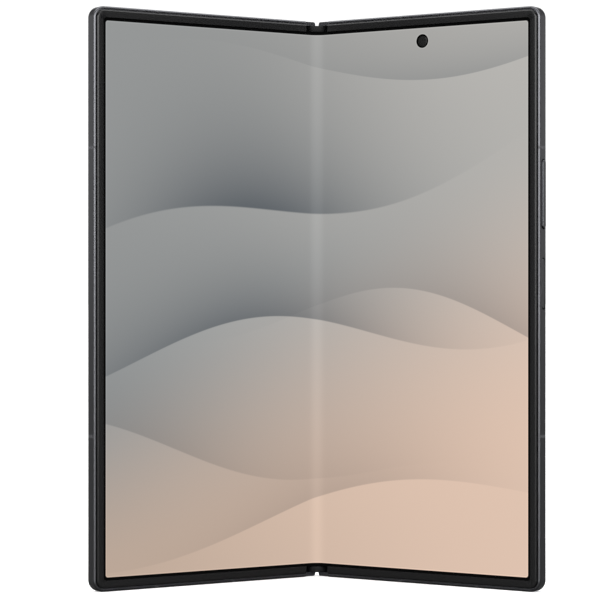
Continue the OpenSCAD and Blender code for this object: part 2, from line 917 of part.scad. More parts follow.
module hinge_arms(first) {
    for (low = arm_lows(first))
        difference() {
            translate([0, 0, low])
                linear_extrude(height = arm_w)
                    arm_section();
            for (p = screw_places(first))
                y_bar(p[0], p[1], screw_r + screw_arm_gap, arm_y - cut, arm_back + cut);
        }
}

module hinge_screws(first) {
    for (p = screw_places(first)) {
        y_bar(p[0], p[1], screw_r, mid_back - screw_bite, arm_back + bite);
        y_bar(p[0], p[1], screw_head_r, arm_back, arm_back + screw_head_t);
    }
}

module wing_plate() {
    translate([wing_pivot, wing_y, 0])
        rotate([0, 0, -rest_tilt * wing_ratio])
            difference() {
                union() {
                    block([wing_in - wing_pivot, -wing_t / 2, wing_end],
                          [0, wing_t / 2, body_h - wing_end]);
                    translate([0, 0, wing_end])
                        cylinder(h = body_h - 2 * wing_end, r = wing_bead_r);
                }
                for (span = [opening_spans()[0], opening_spans()[1], opening_spans()[2]])
                    block([-wing_pivot - cut, -cut, span[0] - wing_notch_side],
                          [wing_notch_x - wing_pivot, cut, span[1] + wing_notch_side]);
            }
}

// Three small bars that hold the shut halves together
magnet_w = 1.5;
magnet_t = 1.4;
magnet_gap = 0.4;
module magnets() {
    for (i = [0:2])
        translate([0, 0, magnet_low + i * magnet_pitch])
            block([room_out - magnet_gap - magnet_w, part_y, -magnet_l / 2],
                  [room_out - magnet_gap, part_y + magnet_t, magnet_l / 2]);
}

// Cell between the hinge screws and the outer side
battery_start = 10;
battery_side = 1.6;
battery_back = 0.75;
module battery(height) {
    block([battery_start, part_y, battery_low],
          [key_room - battery_side, glass_y - battery_back, battery_low + height]);
}

module outer_glass() {
    sheet(rail_in + glass_gap, glass_edge + glass_gap, glass_y, half_t);
}

// Right half

// A slot through the rim at the keys, with rounded ends
module key_slot(z, length, width, from, to) {
    r = width / 2;
    for (end = [-1, 1])
        translate([from, key_y, z + end * (length / 2 - r)])
            rotate([0, 90, 0])
                cylinder(h = to - from, r = r);
    block([from, key_y - r, z - length / 2 + r], [to, key_y + r, z + length / 2 - r]);
}

// An opening or body like the port: flat, with round ends, along Z
module port_shape(width, height, low, high) {
    r = height / 2;
    for (end = [-1, 1])
        translate([port_x + end * (width / 2 - r), port_y, low])
            cylinder(h = high - low, r = r);
    block([port_x - width / 2 + r, port_y - r, low], [port_x + width / 2 - r, port_y + r, high]);
}

// Half of the height that a key takes inside, with its flange
function key_reach(length) = length / 2 + key_flange_over + key_room_end;

module right_frame() {
    color(metal_dark)
        right_pose()
            difference() {
                half_frame(right_arm_low);
                key_slot(rocker_z, rocker_l + 2 * key_gap, key_w + 2 * key_gap,
                         room_out - cut, half_w + cut);
                key_slot(side_key_z, side_key_l + 2 * key_gap, key_w + 2 * key_gap,
                         room_out - cut, half_w + cut);
                block([key_room, seat_y - sliver, side_key_z - key_reach(side_key_l)],
                      [room_out, mid_back + cut, rocker_z + key_reach(rocker_l)]);
                port_shape(port_w + 2 * (port_wall + port_gap), port_h + 2 * (port_wall + port_gap),
                           -cut, rim_w + cut);
                block([port_x - port_w / 2 - port_room, seat_y - sliver, rim_w],
                      [port_x + port_w / 2 + port_room, mid_back + cut, port_top + bite]);
                for (i = [0:speaker_holes - 1])
                    translate([speaker_x + i * speaker_pitch, port_y, -cut])
                        cylinder(h = rim_w + 2 * cut, r = speaker_hole_r);
                translate([mic_x, port_y, -cut])
                    cylinder(h = rim_w + 2 * cut, r = mic_r);
                translate([mic_x, port_y, body_h - rim_w - cut])
                    cylinder(h = rim_w + 2 * cut, r = mic_r);
                y_bar(punch_x, punch_z, punch_r + punch_room, seat_y - cut, mid_back + cut);
                for (z = camera_z)
                    y_bar(camera_x, z, module_side / 2, seat_y + module_cover, mid_back + cut);
            }
}

module right_bezel() {
    color(plastic_dark)
        right_pose()
            bezel();
}

module inner_display_right() {
    color(screen_peach)
        right_pose()
            difference() {
                display_panel();
                y_bar(punch_x, punch_z, punch_r, 0, half_t);
            }
}

module right_hinge_arms() {
    color(metal_bright)
        right_pose()
            hinge_arms(right_arm_low);
}

module right_hinge_screws() {
    color(metal_bright)
        right_pose()
            hinge_screws(right_arm_low);
}

module right_wing_plate() {
    color(metal_bright)
        right_pose()
            wing_plate();
}

module right_antenna_bands() {
    color(band_grey)
        right_pose()
            antenna_bands();
}

// Rounded slab of the camera plate, at the back of the glass
module camera_plate_shape(grow, y_from, y_to) {
    r = ring_r + plate_margin + grow;
    for (z = [camera_z[0], camera_z[2]])
        y_bar(camera_x, z, r, y_from, y_to);
    block([camera_x - r, y_from, camera_z[2]], [camera_x + r, y_to, camera_z[0]]);
}

module back_glass() {
    color(glass_dark)
        right_pose()
            difference() {
                outer_glass();
                for (z = camera_z)
                    y_bar(camera_x, z, ring_hole_r, glass_y - cut, half_t + cut);
                y_bar(flash_x, camera_z[0], flash_r + glass_gap, glass_y - cut, half_t + cut);
            }
}

module camera_plate() {
    color(metal_dark)
        right_pose()
            difference() {
                camera_plate_shape(0, half_t, plate_y);
                for (z = camera_z)
                    y_bar(camera_x, z, ring_hole_r, half_t - cut, plate_y + cut);
            }
}

module camera_rings() {
    color(metal_dark)
        right_pose()
            for (z = camera_z)
                difference() {
                    union() {
                        y_bar(camera_x, z, ring_r, plate_y, ring_y);
                        y_bar(camera_x, z, lens_r + ring_neck_t, glass_y + layer_gap, plate_y + bite);
                    }
                    y_bar(camera_x, z, lens_r, ring_y - window_drop, ring_y + cut);
                    y_bar(camera_x, z, lens_r - ring_seat_w, glass_y - cut, ring_y + cut);
                }
}

module camera_windows() {
    color(glass_dark)
        right_pose()
            for (z = camera_z)
                y_bar(camera_x, z, lens_r - window_gap, ring_y - window_drop, ring_y - window_sink);
}

module camera_modules() {
    color(plastic_dark)
        right_pose()
            for (z = camera_z) {
                block([camera_x - module_side / 2, part_y, z - module_side / 2],
                      [camera_x + module_side / 2, glass_y - layer_gap, z + module_side / 2]);
                y_bar(camera_x, z, lens_r - module_lens_in, glass_y - bite,
                      ring_y - window_drop - layer_gap);
            }
}

module flash_window() {
    color(metal_bright)
        right_pose()
            y_bar(flash_x, camera_z[0], flash_r, glass_y - flash_t, half_t - flash_sink);
}

board_side = 1;
board_start = arm_end + board_side;
board_clear = 2;
board_low = battery_low + battery_h + board_clear;
board_out = camera_x - module_side / 2 - part_gap;
board_back = part_y + board_t;
board_top_gap = 1;
board_hole = 0.8;
can_side = 2;
can_gap = 2.5;
can_top_gap = 12;
can_low = board_low + can_side;
can_top = punch_z - punch_r - can_top_gap;
can_mid = (can_low + can_top) / 2;

module main_board() {
    color(board_green)
        right_pose()
            difference() {
                block([board_start, part_y, board_low],
                      [board_out, board_back, body_h - rim_w - board_top_gap]);
                y_bar(punch_x, punch_z, punch_r + board_hole, 0, half_t);
            }
}

module shield_cans() {
    color(metal_bright)
        right_pose()
            for (span = [[can_low, can_mid - can_gap / 2], [can_mid + can_gap / 2, can_top]])
                block([board_start + can_side, board_back, span[0]],
                      [board_out - can_side, board_back + shield_h, span[1]]);
}

module right_battery() {
    color(cell_grey)
        right_pose()
            battery(battery_h);
}

coil_gap = 0.1;
module charging_coil() {
    color(copper)
        right_pose()
            translate([(battery_start + key_room - battery_side) / 2,
                       glass_y - coil_gap - coil_t, battery_low + battery_h / 2])
                rotate([-90, 0, 0])
                    difference() {
                        cylinder(h = coil_t, r = coil_r);
                        translate([0, 0, -cut])
                            cylinder(h = coil_t + 2 * cut, r = coil_in_r);
                    }
}

module usb_c_port() {
    color(metal_bright)
        right_pose()
            difference() {
                port_shape(port_w + 2 * port_wall, port_h + 2 * port_wall, port_sink, port_top);
                port_shape(port_w, port_h, port_sink - cut, port_top - port_back_t);
            }
}

module usb_c_tongue() {
    color(plastic_dark)
        right_pose()
            block([port_x - tongue_w / 2, port_y - tongue_t / 2, port_top - port_back_t - tongue_l],
                  [port_x + tongue_w / 2, port_y + tongue_t / 2, port_top - port_back_t]);
}

lower_board_gap = 0.3;
lower_board_low = port_top + lower_board_gap;
lower_board_step = lower_board_low + 8;
lower_board_high = battery_low - board_clear;
lower_board_neck = 14;

module lower_board() {
    color(board_green)
        right_pose()
            union() {
                block([board_start, part_y, lower_board_step],
                      [key_room, board_back, lower_board_high]);
                block([port_x - lower_board_neck / 2, part_y, lower_board_low],
                      [port_x + lower_board_neck / 2, board_back, lower_board_high]);
            }
}

module loudspeaker() {
    color(plastic_dark)
        right_pose()
            block([speaker_x - speaker_side, part_y, rim_w + part_gap],
                  [speaker_x + (speaker_holes - 1) * speaker_pitch + speaker_side,
                   glass_y - bite, rim_w + part_gap + speaker_l]);
}

module vibration_motor() {
    color(metal_bright)
        right_pose()
            block([mic_x - motor_gap - motor_w, part_y, rim_w + part_gap],
                  [mic_x - motor_gap, glass_y - bite, rim_w + part_gap + motor_l]);
}

module inner_camera() {
    color(plastic_dark)
        right_pose()
            union() {
                y_bar(punch_x, punch_z, punch_r - layer_gap, screen_drop + punch_sink, part_y + bite);
                y_bar(punch_x, punch_z, punch_r + punch_body, part_y, glass_y - punch_back);
            }
}

// Small spring switches behind the two keys, on one strip
switch_x = half_w - key_flange_in - key_flange_t - switch_gap;
module key_switches() {
    color(copper)
        right_pose()
            union() {
                block([switch_x - switch_strip_t, key_y - switch_strip_w / 2,
                       side_key_z - side_key_l / 2],
                      [switch_x, key_y + switch_strip_w / 2, rocker_z + rocker_l / 2]);
                for (z = [rocker_z - rocker_l / 3, rocker_z + rocker_l / 3, side_key_z])
                    translate([switch_x - bite, key_y, z])
                        rotate([0, 90, 0])
                            cylinder(h = switch_out + bite, r = switch_r);
            }
}

// A key with its inner flange
module key(z, length, out) {
    flange_x = half_w - key_flange_in;
    key_slot(z, length, key_w, flange_x - bite, half_w + out);
    block([flange_x - key_flange_t, key_y - key_flange_w / 2, z - length / 2 - key_flange_over],
          [flange_x, key_y + key_flange_w / 2, z + length / 2 + key_flange_over]);
}

module volume_rocker() {
    color(metal_dark)
        right_pose()
            key(rocker_z, rocker_l, rocker_out);
}

module side_key() {
    color(metal_dark)
        right_pose()
            key(side_key_z, side_key_l, -side_key_sink);
}

// Left half

// Face of the card tray and its opening, in the top of the rim
module tray_shape(grow, low, high) {
    r = tray_face_t / 2 + grow;
    for (end = [-1, 1])
        translate([tray_x + end * (tray_w / 2 - tray_face_t / 2), tray_y, low])
            cylinder(h = high - low, r = r);
    block([tray_x - tray_w / 2 + tray_face_t / 2, tray_y - r, low],
          [tray_x + tray_w / 2 - tray_face_t / 2, tray_y + r, high]);
}

module left_frame() {
    color(metal_dark)
        left_pose()
            difference() {
                half_frame(left_arm_low);
                tray_shape(tray_gap, body_h - rim_w - cut, body_h + cut);
            }
}

module left_bezel() {
    color(plastic_dark)
        left_pose()
            bezel();
}

module inner_display_left() {
    color(screen_grey)
        left_pose()
            display_panel();
}

module left_hinge_arms() {
    color(metal_bright)
        left_pose()
            hinge_arms(left_arm_low);
}

module left_hinge_screws() {
    color(metal_bright)
        left_pose()
            hinge_screws(left_arm_low);
}

module left_wing_plate() {
    color(metal_bright)
        left_pose()
            wing_plate();
}

module left_antenna_bands() {
    color(band_grey)
        left_pose()
            antenna_bands();
}

cover_punch_top = 7;
cover_punch_x = (rail_in + half_w) / 2;
cover_punch_z = body_h - cover_punch_top;
cover_panel_back = glass_y - screen_gap;
cover_panel_y = cover_panel_back - cover_panel_t;
cover_panel_start = 0.5;
cover_panel_side = 0.3;
cover_tray_room = 0.2;
cover_body = 0.6;
module cover_glass() {
    color(glass_dark)
        left_pose()
            outer_glass();
}

module cover_display_panel() {
    color(plastic_dark)
        left_pose()
            difference() {
                sheet(rail_in + cover_panel_start, rim_w + cover_panel_side,
                      cover_panel_y, cover_panel_back);
                y_bar(cover_punch_x, cover_punch_z, cover_punch_r, 0, half_t);
                tray_shape(tray_gap + cover_tray_room, tray_room_low - tray_room_end, body_h);
            }
}

module cover_camera() {
    color(plastic_dark)
        left_pose()
            union() {
                y_bar(cover_punch_x, cover_punch_z, cover_punch_r - layer_gap,
                      cover_panel_y - layer_gap - bite, cover_panel_back - screen_gap);
                y_bar(cover_punch_x, cover_punch_z, cover_punch_r + cover_body,
                      part_y, cover_panel_y - layer_gap);
            }
}

module left_battery() {
    color(cell_grey)
        left_pose()
            battery(battery_h + battery_more);
}

tray_room_end = 1.5;
tray_room_low = body_h - tray_l - tray_room_end - board_clear / 2;
left_board_low = battery_low + battery_h + battery_more + board_clear;
module left_board() {
    color(board_green)
        left_pose()
            block([board_start, part_y, left_board_low],
                  [key_room, board_back, tray_room_low - board_clear / 2]);
}

earpiece_w = 12;
earpiece_h = 7.5;
module earpiece() {
    color(plastic_dark)
        left_pose()
            block([earpiece_x - earpiece_w / 2, part_y, body_h - rim_w - part_gap - earpiece_h],
                  [earpiece_x + earpiece_w / 2, cover_panel_y - bite, body_h - rim_w - part_gap]);
}

reader_wall = 0.3;
reader_end = 0.4;
module card_reader() {
    color(metal_bright)
        left_pose()
            difference() {
                block([tray_x - tray_w / 2 - reader_wall, part_y, tray_room_low],
                      [tray_x + tray_w / 2 + reader_wall, cover_panel_y - bite,
                       body_h - rim_w - part_gap]);
                block([tray_x - tray_w / 2, tray_y - tray_t / 2 - tray_gap, tray_room_low + reader_end],
                      [tray_x + tray_w / 2, tray_y + tray_t / 2 + tray_gap, body_h]);
            }
}

module card_tray() {
    color(metal_dark)
        left_pose()
            difference() {
                union() {
                    tray_shape(0, body_h - rim_w, body_h - tray_sink);
                    block([tray_x - tray_w / 2 + tray_side, tray_y - tray_t / 2, body_h - tray_l],
                          [tray_x + tray_w / 2 - tray_side, tray_y + tray_t / 2,
                           body_h - rim_w + bite]);
                }
                translate([tray_x - tray_w / 2 + tray_bar, tray_y, body_h - rim_w - bite])
                    cylinder(h = tray_hole_l, r = tray_hole_r);
                block([tray_x - tray_w / 2 + tray_bar, tray_y - tray_t,
                       body_h - tray_l + tray_end_bar],
                      [tray_x + tray_w / 2 - tray_bar, tray_y + tray_t,
                       body_h - rim_w - tray_end_bar]);
            }
}

module right_magnets() {
    color(metal_bright)
        right_pose()
            magnets();
}

module left_magnets() {
    color(metal_bright)
        left_pose()
            magnets();
}

spine_cover();
spine_end_cap_top();
spine_end_cap_bottom();
hinge_base_top();
hinge_base_bottom();
gear_base();
gear_shafts();
disc_springs();
inner_display_fold();
hinge_flex_cable();
right_sync_arm();
left_sync_arm();
right_idler_gear();
left_idler_gear();
right_frame();
right_bezel();
inner_display_right();
right_hinge_arms();
right_hinge_screws();
right_wing_plate();
right_antenna_bands();
back_glass();
camera_plate();
camera_rings();
camera_windows();
camera_modules();
flash_window();
main_board();
shield_cans();
right_battery();
charging_coil();
usb_c_port();
usb_c_tongue();
lower_board();
loudspeaker();
vibration_motor();
inner_camera();
key_switches();
volume_rocker();
side_key();
left_frame();
left_bezel();
inner_display_left();
left_hinge_arms();
left_hinge_screws();
left_wing_plate();
left_antenna_bands();
cover_glass();
cover_display_panel();
cover_camera();
left_battery();
left_board();
earpiece();
card_reader();
card_tray();
right_magnets();
left_magnets();
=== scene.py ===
"""Looks of a foldable smartphone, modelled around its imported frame.

Every piece of a half is modelled as the right half lies flat, in millimetres: X runs from
the fold to the outer edge, Y from the screen side to the back, and Z up along the fold.
A Placing then turns the finished mesh to its seat in the open book, in metres.
"""

import sys

import json
import logging
import math
from abc import ABC, abstractmethod
from collections.abc import Callable, Iterable, Sequence
from dataclasses import dataclass
from enum import Enum

import bmesh
import bpy
from bmesh.types import BMEdge, BMesh, BMVert
from mathutils import Matrix, Vector


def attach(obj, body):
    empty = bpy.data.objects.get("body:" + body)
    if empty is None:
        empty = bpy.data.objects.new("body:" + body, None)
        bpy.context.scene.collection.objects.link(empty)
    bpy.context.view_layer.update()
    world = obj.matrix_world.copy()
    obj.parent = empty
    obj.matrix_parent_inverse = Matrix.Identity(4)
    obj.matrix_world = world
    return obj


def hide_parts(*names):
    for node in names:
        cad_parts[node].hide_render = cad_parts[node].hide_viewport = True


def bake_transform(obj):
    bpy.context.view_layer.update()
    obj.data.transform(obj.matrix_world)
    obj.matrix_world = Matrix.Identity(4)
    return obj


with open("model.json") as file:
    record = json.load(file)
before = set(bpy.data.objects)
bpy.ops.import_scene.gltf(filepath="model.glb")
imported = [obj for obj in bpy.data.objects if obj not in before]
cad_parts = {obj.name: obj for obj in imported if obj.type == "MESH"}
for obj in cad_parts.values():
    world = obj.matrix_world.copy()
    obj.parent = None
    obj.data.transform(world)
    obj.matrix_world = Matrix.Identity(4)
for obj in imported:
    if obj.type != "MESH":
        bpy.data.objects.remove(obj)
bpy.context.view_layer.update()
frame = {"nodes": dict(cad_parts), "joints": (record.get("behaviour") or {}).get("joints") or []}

LOG = logging.getLogger("foldable_phone")
MM = 0.001
Point = tuple[float, float]
Triple = tuple[float, float, float]
Colour = Triple
Corners = tuple[Vector, Vector]


class Side(Enum):
    """The two halves, with the sign of their X."""

    RIGHT = 1
    LEFT = -1

    @property
    def word(self) -> str:
        """The half's name at the start of its pieces' names."""
        return self.name.lower()


class Along(Enum):
    """Axis that an outline is extruded along, with the two axes that its points run on."""

    X = Matrix(((0, 0, 1, 0), (1, 0, 0, 0), (0, 1, 0, 0), (0, 0, 0, 1)))
    Y = Matrix(((1, 0, 0, 0), (0, 0, 1, 0), (0, 1, 0, 0), (0, 0, 0, 1)))
    Z = Matrix.Identity(4)


# Placing in the frame


@dataclass(frozen=True)
class Placing:
    """Turns a mesh in flat millimetres into the frame's metres, on one body."""

    body: str
    matrix: Matrix

    def box(self, node: str) -> Corners:
        """Lowest and highest corner of a CAD node, in flat millimetres.

        Args:
            node: name of the CAD node.

        Returns:
            The two corners.
        """
        back = self.matrix.inverted()
        points = [back @ v.co for v in frame["nodes"][node].data.vertices]
        low = Vector(tuple(min(p[i] for p in points) for i in range(3)))
        high = Vector(tuple(max(p[i] for p in points) for i in range(3)))
        return low, high

    def riding(self, body: str) -> "Placing":
        """The same place, on another body."""
        return Placing(body, self.matrix)


def middle(low: Sequence[float], high: Sequence[float]) -> tuple[float, ...]:
    """The point halfway between two corners."""
    return tuple((a + b) / 2 for a, b in zip(low, high))


def fold_facts() -> tuple[Vector, float]:
    """Reads the right fold axis from the frame.

    Returns:
        The axis's place in millimetres, and how far each half is turned from lying flat.
    """
    joint = next(j for j in frame["joints"] if j["name"] == "right_fold")
    return Vector(joint["pos_m"]) / MM, math.radians(-joint["range_deg"][0])


def half_placing(side: Side, axis_depth: float) -> Placing:
    """Placing of one half at rest.

    Args:
        side: which half.
        axis_depth: depth of the fold axis behind the bezel's top.

    Returns:
        The placing on that half's body.
    """
    axis, tilt = fold_facts()
    seat = Matrix.Translation((axis.x, axis.y, 0)) @ Matrix.Rotation(-tilt, 4, "Z")
    flat = seat @ Matrix.Translation((-axis.x, -axis_depth, 0))
    flip = Matrix.Diagonal((side.value, 1, 1, 1))
    return Placing(f"{side.word}_half", Matrix.Scale(MM, 4) @ flip @ flat)


@dataclass(frozen=True)
class Body:
    """Sizes that all sub-assemblies share, in millimetres.

    Depths count from the bezel's top: ``axis_depth``, ``lip_drop``, ``seat`` (back of the
    screen and the bezel), ``mid_back``, ``rail_front``, ``recess`` (before the end walls)
    and ``screen_drop``. ``glass_edge`` and ``bezel_in`` count from the outer face, and
    ``axis_x``, ``bezel_end``, ``fold_gap`` and ``rail_in`` from the fold. ``tilt`` is how
    far a half is turned from lying flat, in radians. ``side_gain`` is how much narrower the
    bezel is at the side than at the ends. The keys stand ``key_back`` behind the middle of
    their nodes, and their flanges reach ``key_flange`` past their ends.
    """

    height: float
    half_w: float
    half_t: float
    axis_x: float
    axis_depth: float
    tilt: float
    bezel_end: float
    corner: float = 3.2
    rim_w: float = 1.6
    lip_w: float = 0.55
    lip_drop: float = 0.25
    front_round: float = 0.5
    back_round: float = 0.8
    seat: float = 0.95
    mid_back: float = 1.45
    glass_t: float = 0.4
    glass_edge: float = 1.15
    end_wall: float = 1.1
    fold_gap: float = 0.1
    notch_round: float = 0.5
    rail_in: float = 5.5
    rail_front: float = 1.6
    recess: float = 1.3
    bezel_in: float = 3.05
    side_gain: float = 0.15
    pocket_r: float = 2.55
    screen_drop: float = 0.35
    key_w: float = 1.6
    key_back: float = 0.15
    key_flange: float = 1.0
    module_side: float = 9.0

    @property
    def glass_y(self) -> float:
        """Depth of the outer glasses' inner face."""
        return self.half_t - self.glass_t

    @property
    def lip_y(self) -> float:
        """Depth of the centre of the rim's front round."""
        return self.lip_drop + self.front_round


AXIS_DEPTH_GUESS = 0.0


def read_body() -> Body:
    """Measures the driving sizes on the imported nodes.

    Returns:
        All shared sizes.
    """
    axis, tilt = fold_facts()
    rough = half_placing(Side.RIGHT, AXIS_DEPTH_GUESS)
    axis_depth = -rough.box("right_bezel")[0].y
    place = half_placing(Side.RIGHT, axis_depth)
    frame_high = place.box("right_frame")[1]
    glass_high = place.box("back_glass")[1]
    return Body(
        height=frame_high.z,
        half_w=frame_high.x,
        half_t=glass_high.y,
        axis_x=axis.x,
        axis_depth=axis_depth,
        tilt=tilt,
        bezel_end=place.box("right_bezel")[0].x,
    )


# Outlines and meshes

CORNER_STEPS = 14
MERGE = 1e-4
BEVEL_FROM = math.radians(50)
SHARP_FROM = math.radians(38)


def arc(cx: float, cy: float, r: float, start: float, end: float, steps: int = 8) -> list[Point]:
    """Points along an arc.

    Args:
        cx: first value of the centre.
        cy: second value of the centre.
        r: radius.
        start: first angle in degrees.
        end: last angle in degrees.
        steps: number of stretches.

    Returns:
        The points, both ends included.
    """
    turns = [math.radians(start + (end - start) * i / steps) for i in range(steps + 1)]
    return [(cx + r * math.cos(a), cy + r * math.sin(a)) for a in turns]


def new_verts(geom: Iterable) -> list[BMVert]:
    """The vertices among the geometry that an operator returned."""
    return [g for g in geom if isinstance(g, BMVert)]


def new_edges(geom: Iterable) -> list[BMEdge]:
    """The edges among the geometry that an operator returned."""
    return [g for g in geom if isinstance(g, BMEdge)]


def prism(outline: Sequence[Point], low: float, high: float, along: Along = Along.Z) -> BMesh:
    """Extrudes an outline.

    Args:
        outline: its points, on the two axes that are left.
        low: where it starts on the axis.
        high: where it ends.
        along: the axis.

    Returns:
        A closed mesh.
    """
    bm = bmesh.new()
    face = bm.faces.new([bm.verts.new((a, b, low)) for a, b in outline])
    grown = bmesh.ops.extrude_face_region(bm, geom=[face])
    bmesh.ops.translate(bm, verts=new_verts(grown["geom"]), vec=(0, 0, high - low))
    bm.transform(along.value)
    bmesh.ops.recalc_face_normals(bm, faces=bm.faces)
    return bm


def block(low: Sequence[float], high: Sequence[float]) -> BMesh:
    """A block between two opposite corners.

    Args:
        low: its lowest corner.
        high: its highest corner.

    Returns:
        A closed mesh.
    """
    size = [b - a for a, b in zip(low, high)]
    bm = bmesh.new()
    seat = Matrix.Translation(middle(low, high)) @ Matrix.Diagonal((*size, 1))
    bmesh.ops.create_cube(bm, size=1, matrix=seat)
    return bm


def slot_outline(length: float, width: float, steps: int) -> list[Point]:
    """Outline of a slot with round ends, centred on 0.

    Args:
        length: its length along the first value.
        width: its width along the second one.
        steps: stretches round each end.

    Returns:
        The points.
    """
    r = width / 2
    reach = length / 2 - r
    return arc(reach, 0, r, -90, 90, steps) + arc(-reach, 0, r, 90, 270, steps)


def slot_bar(box: Corners, grow: float, low: float, high: float, steps: int = 16) -> BMesh:
    """A bar along Z with round sides, as wide and as deep as a box.

    Args:
        box: lowest and highest corner of the box.
        grow: how much wider and deeper the bar is.
        low: where it starts along Z.
        high: where it ends.
        steps: stretches round each side.

    Returns:
        A closed mesh.
    """
    x, y, _ = middle(*box)
    outline = slot_outline(box[1].x - box[0].x + grow, box[1].y - box[0].y + grow, steps)
    return prism([(v + x, w + y) for v, w in outline], low, high)


def key_bar(body: Body, box: Corners, gaps: Point, reach: Point, steps: int) -> BMesh:
    """A bar along X with a key's outline.

    Args:
        body: the shared sizes.
        box: lowest and highest corner of the key's node.
        gaps: how far the bar reaches past the key's sides and past its ends.
        reach: where it starts and ends along X.
        steps: stretches round each end.

    Returns:
        A closed mesh.
    """
    _, y, z = middle(*box)
    y += body.key_back
    length = box[1].z - box[0].z - 2 * body.key_flange + 2 * gaps[1]
    outline = slot_outline(length, body.key_w + 2 * gaps[0], steps)
    return prism([(w + y, v + z) for v, w in outline], *reach, Along.X)


def lathe(profile: Sequence[Point], x: float, z: float, steps: int = 48) -> BMesh:
    """Turns a profile round an axis along Y.

    Args:
        profile: its points as radius and depth; a radius of 0 lies on the axis.
        x: the axis's place along X.
        z: the axis's place along Z.
        steps: stretches round the circle.

    Returns:
        A mesh that is closed if the profile is, or if both its ends lie on the axis.
    """
    bm = bmesh.new()
    verts = [bm.verts.new((x + r, y, z)) for r, y in profile]
    ring = [bm.edges.new(pair) for pair in zip(verts, verts[1:])]
    if min(profile[0][0], profile[-1][0]) > 0:
        ring.append(bm.edges.new((verts[-1], verts[0])))
    bmesh.ops.spin(
        bm,
        geom=verts + ring,
        cent=(x, 0, z),
        axis=(0, 1, 0),
        angle=math.tau,
        steps=steps,
        use_merge=True,
    )
    bmesh.ops.remove_doubles(bm, verts=bm.verts, dist=MERGE)
    bmesh.ops.recalc_face_normals(bm, faces=bm.faces)
    return bm


def bore(r: float, x: float, z: float, low: float = 0, high: float = 9, steps: int = 64) -> BMesh:
    """A round cutter along Y.

    Args:
        r: its radius.
        x: its axis's place along X.
        z: its axis's place along Z.
        low: its front depth.
        high: its back depth.
        steps: stretches round the circle.

    Returns:
        A closed mesh.
    """
    return lathe([(0, low), (r, low), (r, high), (0, high)], x, z, steps)


def swept_rim(body: Body, section: Sequence[Point], start: float) -> BMesh:
    """Carries a section round the bottom, the outer side and the top of a half.

    Args:
        body: the shared sizes.
        section: its points, as distance in from the outer face and depth.
        start: where both ends stand along X.

    Returns:
        A closed mesh.
    """
    bm = bmesh.new()
    verts = [bm.verts.new((start, depth, inset)) for inset, depth in section]
    first = [bm.edges.new((a, b)) for a, b in zip(verts, verts[1:] + verts[:1])]
    run = body.half_w - body.corner - start
    rise = body.height - 2 * body.corner

    def extruded(edges: list[BMEdge], vec: tuple[float, float, float]) -> list[BMEdge]:
        """Extrudes the loop along a vector and gives the new loop."""
        grown = bmesh.ops.extrude_edge_only(bm, edges=edges)["geom"]
        bmesh.ops.translate(bm, verts=new_verts(grown), vec=vec)
        return new_edges(grown)

    def turned(edges: list[BMEdge], z: float) -> list[BMEdge]:
        """Spins the loop a quarter turn round a corner and gives the new loop."""
        geom = edges + list({v for e in edges for v in e.verts})
        made = bmesh.ops.spin(
            bm,
            geom=geom,
            cent=(body.half_w - body.corner, 0, z),
            axis=(0, -1, 0),
            angle=math.pi / 2,
            steps=CORNER_STEPS,
        )
        return new_edges(made["geom_last"])

    loop = extruded(first, (run, 0, 0))
    loop = turned(loop, body.corner)
    loop = extruded(loop, (0, 0, rise))
    loop = turned(loop, body.height - body.corner)
    loop = extruded(loop, (-run, 0, 0))
    for end in (first, loop):
        bmesh.ops.contextual_create(bm, geom=end)
    bmesh.ops.remove_doubles(bm, verts=bm.verts, dist=MERGE)
    bmesh.ops.recalc_face_normals(bm, faces=bm.faces)
    return bm


def sheet(body: Body, start: float, edge: float, low: float, high: float) -> BMesh:
    """A sheet with the outer corners of a half.

    Args:
        body: the shared sizes.
        start: where it starts along X.
        edge: how far it is set in from the outer faces.
        low: its front depth.
        high: its back depth.

    Returns:
        A closed mesh.
    """
    r = body.corner - edge
    cx = body.half_w - body.corner
    outline = [(start, edge)]
    outline += arc(cx, body.corner, r, -90, 0, CORNER_STEPS)
    outline += arc(cx, body.height - body.corner, r, 0, 90, CORNER_STEPS)
    outline += [(start, body.height - edge)]
    return prism(outline, low, high, Along.Y)


def scratch_object(bm: BMesh, name: str) -> bpy.types.Object:
    """Puts a mesh in a linked object of its own.

    Args:
        bm: the mesh, which is used up.
        name: the object's name.

    Returns:
        The object.
    """
    mesh = bpy.data.meshes.new(name)
    bm.to_mesh(mesh)
    bm.free()
    obj = bpy.data.objects.new(name, mesh)
    bpy.context.scene.collection.objects.link(obj)
    return obj


def boolean(base: BMesh, tools: Sequence[BMesh], operation: str = "DIFFERENCE") -> BMesh:
    """Cuts tools from a mesh, or joins them to it.

    Args:
        base: the mesh, which is used up.
        tools: closed meshes, which are used up.
        operation: DIFFERENCE, UNION or INTERSECT.

    Returns:
        The new mesh.
    """
    body = scratch_object(base, "scratch_base")
    cutters = [scratch_object(tool, "scratch_tool") for tool in tools]
    for cutter in cutters:
        step = body.modifiers.new("cut", "BOOLEAN")
        step.operation = operation
        step.solver = "EXACT"
        step.object = cutter
    bpy.context.view_layer.update()
    result = bmesh.new()
    result.from_mesh(body.evaluated_get(bpy.context.evaluated_depsgraph_get()).to_mesh())
    for obj in [body, *cutters]:
        mesh = obj.data
        bpy.data.objects.remove(obj)
        bpy.data.meshes.remove(mesh)
    bmesh.ops.remove_doubles(result, verts=result.verts, dist=MERGE)
    bmesh.ops.dissolve_degenerate(result, edges=result.edges, dist=MERGE)
    return result


